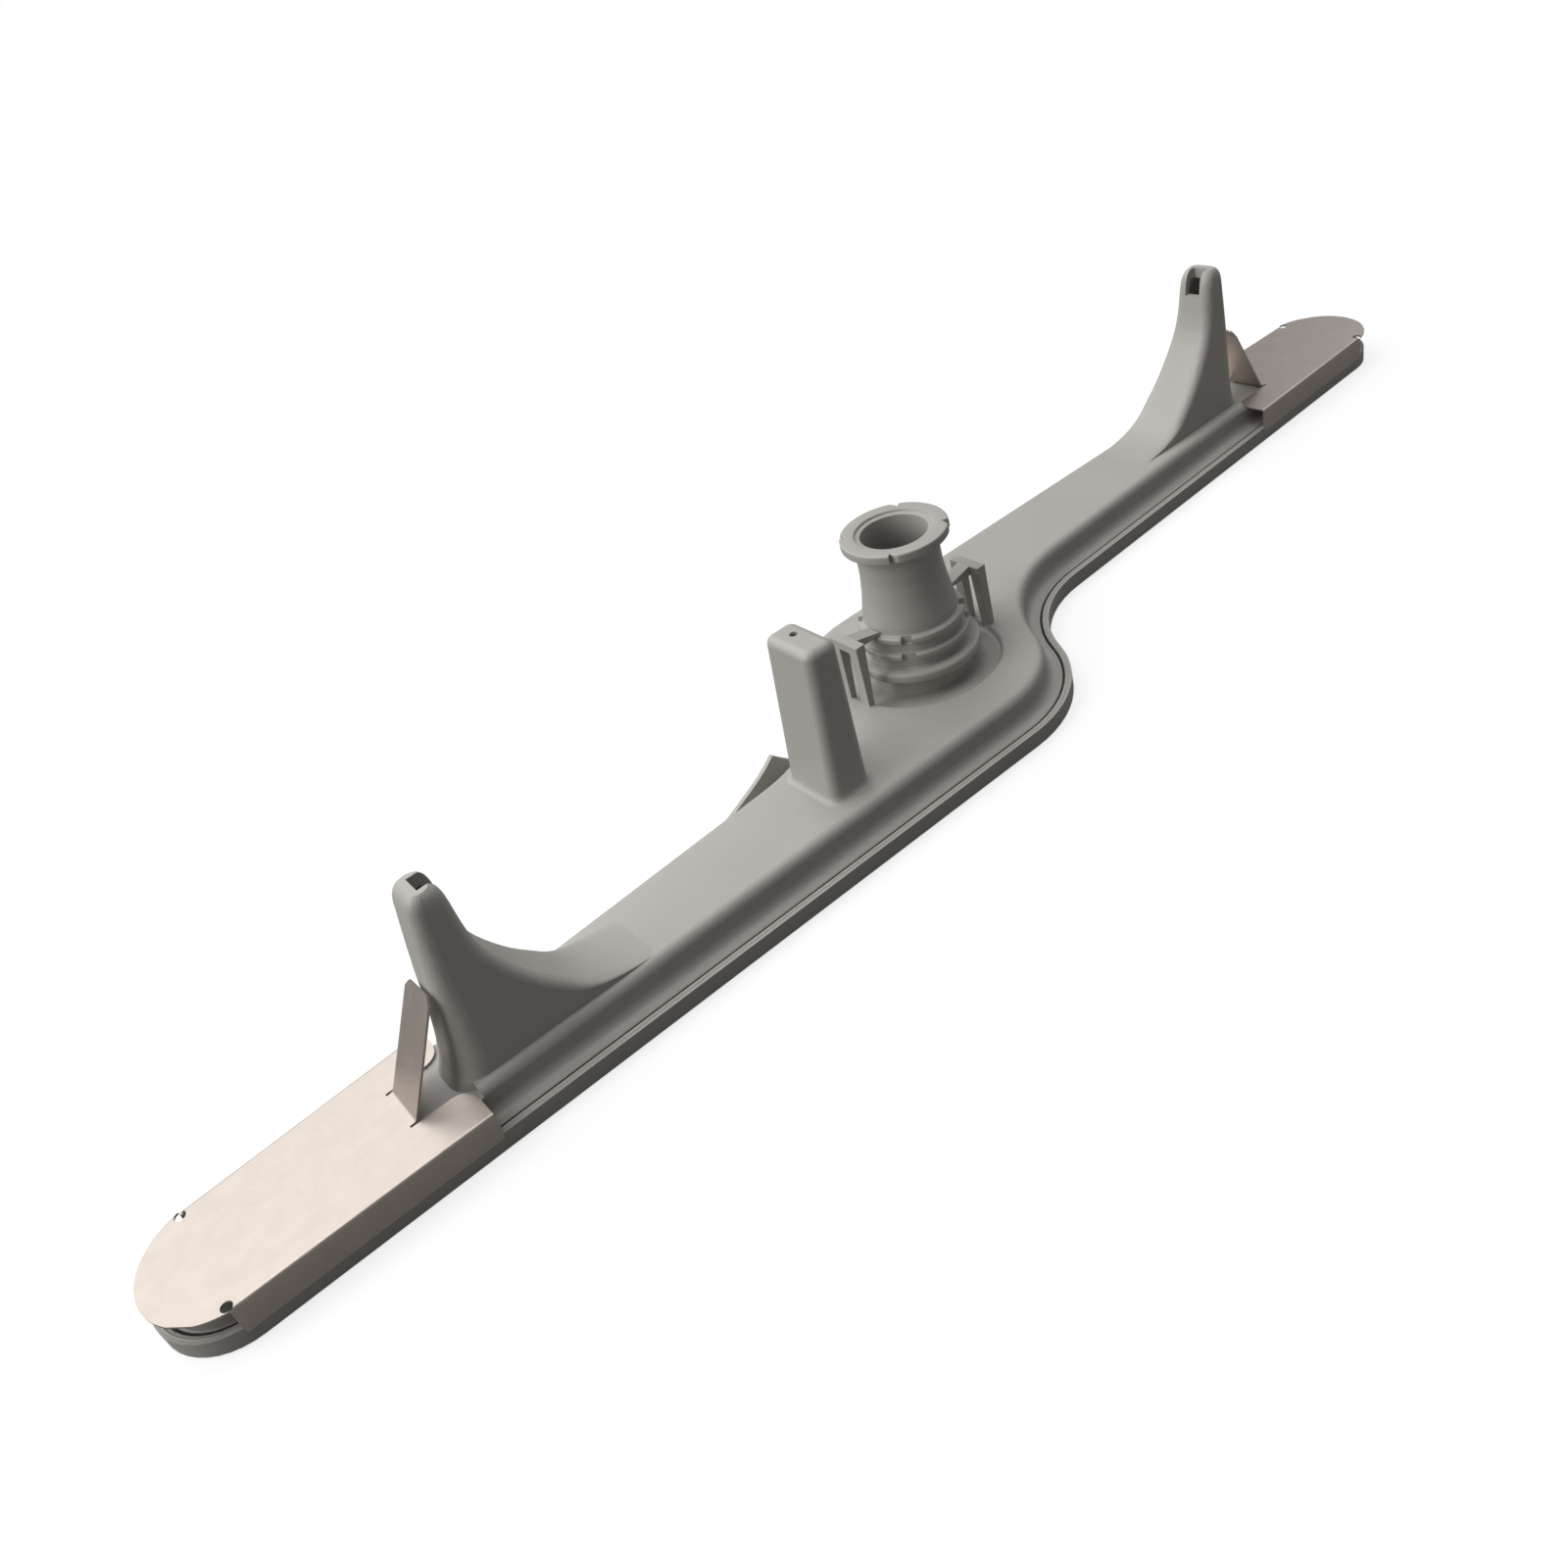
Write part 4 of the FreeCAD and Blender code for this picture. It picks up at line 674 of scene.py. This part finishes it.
def crossLines():  # y of the rows over the plate, closest where slots and prongs bend
    line, w, joint, hair = clip["tabLine"], clip["windowHalf"], clip["jointHalf"], clip["hair"]
    cuts = [w + clip["prongRound"] * (1 - math.cos(math.radians(a))) for a in clip["prongTurns"]]
    slot = [joint + (w - joint) * (1 - math.cos(math.radians(a))) / 2 for a in clip["slotTurns"]]
    away = [w + clip["prongRound"]] + cuts + [w + hair, w - hair] + slot[::-1] + [joint + hair, joint]
    middle = [line + joint * k / clip["tabSide"] for k in range(1 - clip["tabSide"], clip["tabSide"])]
    return [line - d for d in away] + middle + [line + d for d in reversed(away)]


def foldPoint(step):  # inset and height on the rounded fold
    a = math.radians(90 / clip["foldSteps"] * step)
    return clip["fold"] * (1 - math.cos(a)), clip["top"] - clip["fold"] + clip["fold"] * math.sin(a)


def plateRows(root):  # from the foot of the tapered wall over the plate to the foot of the other
    start, end, count, top = clip["start"], clip["end"], clip["stations"], clip["top"]
    low, high = innerEdge(end), arm["halfWidth"]
    rows = []
    for z in (clip["foot"], *clip["wallHeights"], top - clip["fold"]):
        rows.append([(x, innerEdge(x), z) for x in spaced(start, end, count)])
    for k in range(1, clip["foldSteps"] + 1):
        inset, z = foldPoint(k)
        stop = end - notchReach(low + inset)
        rows.append([(x, innerEdge(x) + inset, z) for x in spaced(start, stop, count)])
    for e in clip["notchLines"]:
        stop = end - notchReach(low + e)
        rows.append([(x, innerEdge(x) + e, top) for x in spaced(start, stop, count)])
    for y in crossLines() + [high - e for e in reversed(clip["notchLines"])]:
        rows.append([(x, y, top) for x in spaced(plateStart(y, root), end - notchReach(y), count)])
    for k in range(clip["foldSteps"], -1, -1):
        inset, z = foldPoint(k)
        stop = end - notchReach(high - inset)
        rows.append([(x, high - inset, z) for x in spaced(start, stop, count)])
    for z in (*reversed(clip["wallHeights"]), clip["foot"]):
        rows.append([(x, high, z) for x in spaced(start, end, count)])
    return rows


def capRows():  # the plate's rounded end, beyond the two notches
    low, high = innerEdge(clip["end"]), arm["halfWidth"]
    edge = clip["capLines"] + clip["notchLines"]
    lines = [low + e for e in edge] + crossLines() + [high - e for e in reversed(edge)]
    return [[(x, y, clip["top"])
             for x in spaced(clip["end"] + notchReach(y), capReach(y), clip["capStations"])]
            for y in sorted(set(lines))]


def tabRows(tab):  # the bend at the root, then the leaning strip with its rounded crown
    line, joint, side = clip["tabLine"], clip["jointHalf"], clip["tabSide"]
    lean = math.radians(tab["lean"])
    rise = Vector((-math.sin(lean), 0, math.cos(lean)))
    bendAngle = math.radians(90 - tab["lean"])
    rows = []
    for k in range(clip["bendSteps"] + 1):
        a = bendAngle * k / clip["bendSteps"]
        x, z = tab["root"] - clip["bend"] * math.sin(a), clip["top"] + clip["bend"] * (1 - math.cos(a))
        rows.append([(x, line + joint * t / side, z) for t in range(-side, side + 1)])
    foot = Vector((rows[-1][0][0], 0, rows[-1][0][2]))
    for k in range(1, clip["tabSteps"] + 1):
        s = k / clip["tabSteps"]
        half = joint + (tab["crownHalf"] - joint) * s
        row = []
        for t in range(-side, side + 1):
            y = half * t / side
            length = tab["length"] + tab["frontRise"] * t / side
            past = max(0.0, abs(y) - (half - tab["crownRound"])) / tab["crownRound"]
            length -= tab["crownRound"] * (1 - math.sqrt(max(0.0, 1 - min(1.0, past) ** 2)))
            p = foot + rise * (length * s)
            row.append((p.x, line + y, p.z))
        rows.append(row)
    return rows


def foldedClip(name, node, tab, flip):  # flip is -1 on the near arm, half a turn away
    bm = bmesh.new()
    for rows in (plateRows(tab["root"]), capRows(), tabRows(tab)):
        made = [[bm.verts.new(p) for p in row] for row in rows]
        for a, b in zip(made, made[1:]):
            for k in range(len(a) - 1):
                bm.faces.new((a[k], a[k + 1], b[k + 1], b[k]))
    bmesh.ops.remove_doubles(bm, verts=bm.verts, dist=clip["weld"])
    bmesh.ops.dissolve_degenerate(bm, edges=bm.edges, dist=clip["least"])
    for v in bm.verts:
        v.co = Vector((v.co.x * flip * mm, v.co.y * flip * mm, v.co.z * mm))
    bmesh.ops.recalc_face_normals(bm, faces=bm.faces)
    topFace = max((f for f in bm.faces if abs(f.normal.z) > 0.99), key=lambda f: f.calc_area())
    if topFace.normal.z < 0:
        bmesh.ops.reverse_faces(bm, faces=bm.faces)
    mesh = bpy.data.meshes.new(name)
    bm.to_mesh(mesh)
    bm.free()
    obj = bpy.data.objects.new(name, mesh)
    bpy.context.scene.collection.objects.link(obj)
    wall = obj.modifiers.new("wall", "SOLIDIFY")
    wall.thickness = clip["sheet"] * mm
    wall.offset = -1.0  # the rows are the sheet's outer side
    solved = obj.evaluated_get(bpy.context.evaluated_depsgraph_get())
    sheet = bpy.data.meshes.new_from_object(solved)
    obj.modifiers.remove(wall)
    obj.data = sheet
    sheet.name = name
    for face in sheet.polygons:
        face.use_smooth = True
    sheet.set_sharp_from_angle(angle=clipCrease)
    sheet.materials.append(steelMat)
    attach(obj, "arm")
    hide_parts(node)


foldedClip("endClipNear", "end_clip_near", tabs["near"], -1)
foldedClip("endClipFar", "end_clip_far", tabs["far"], 1)
print("end clips folded")
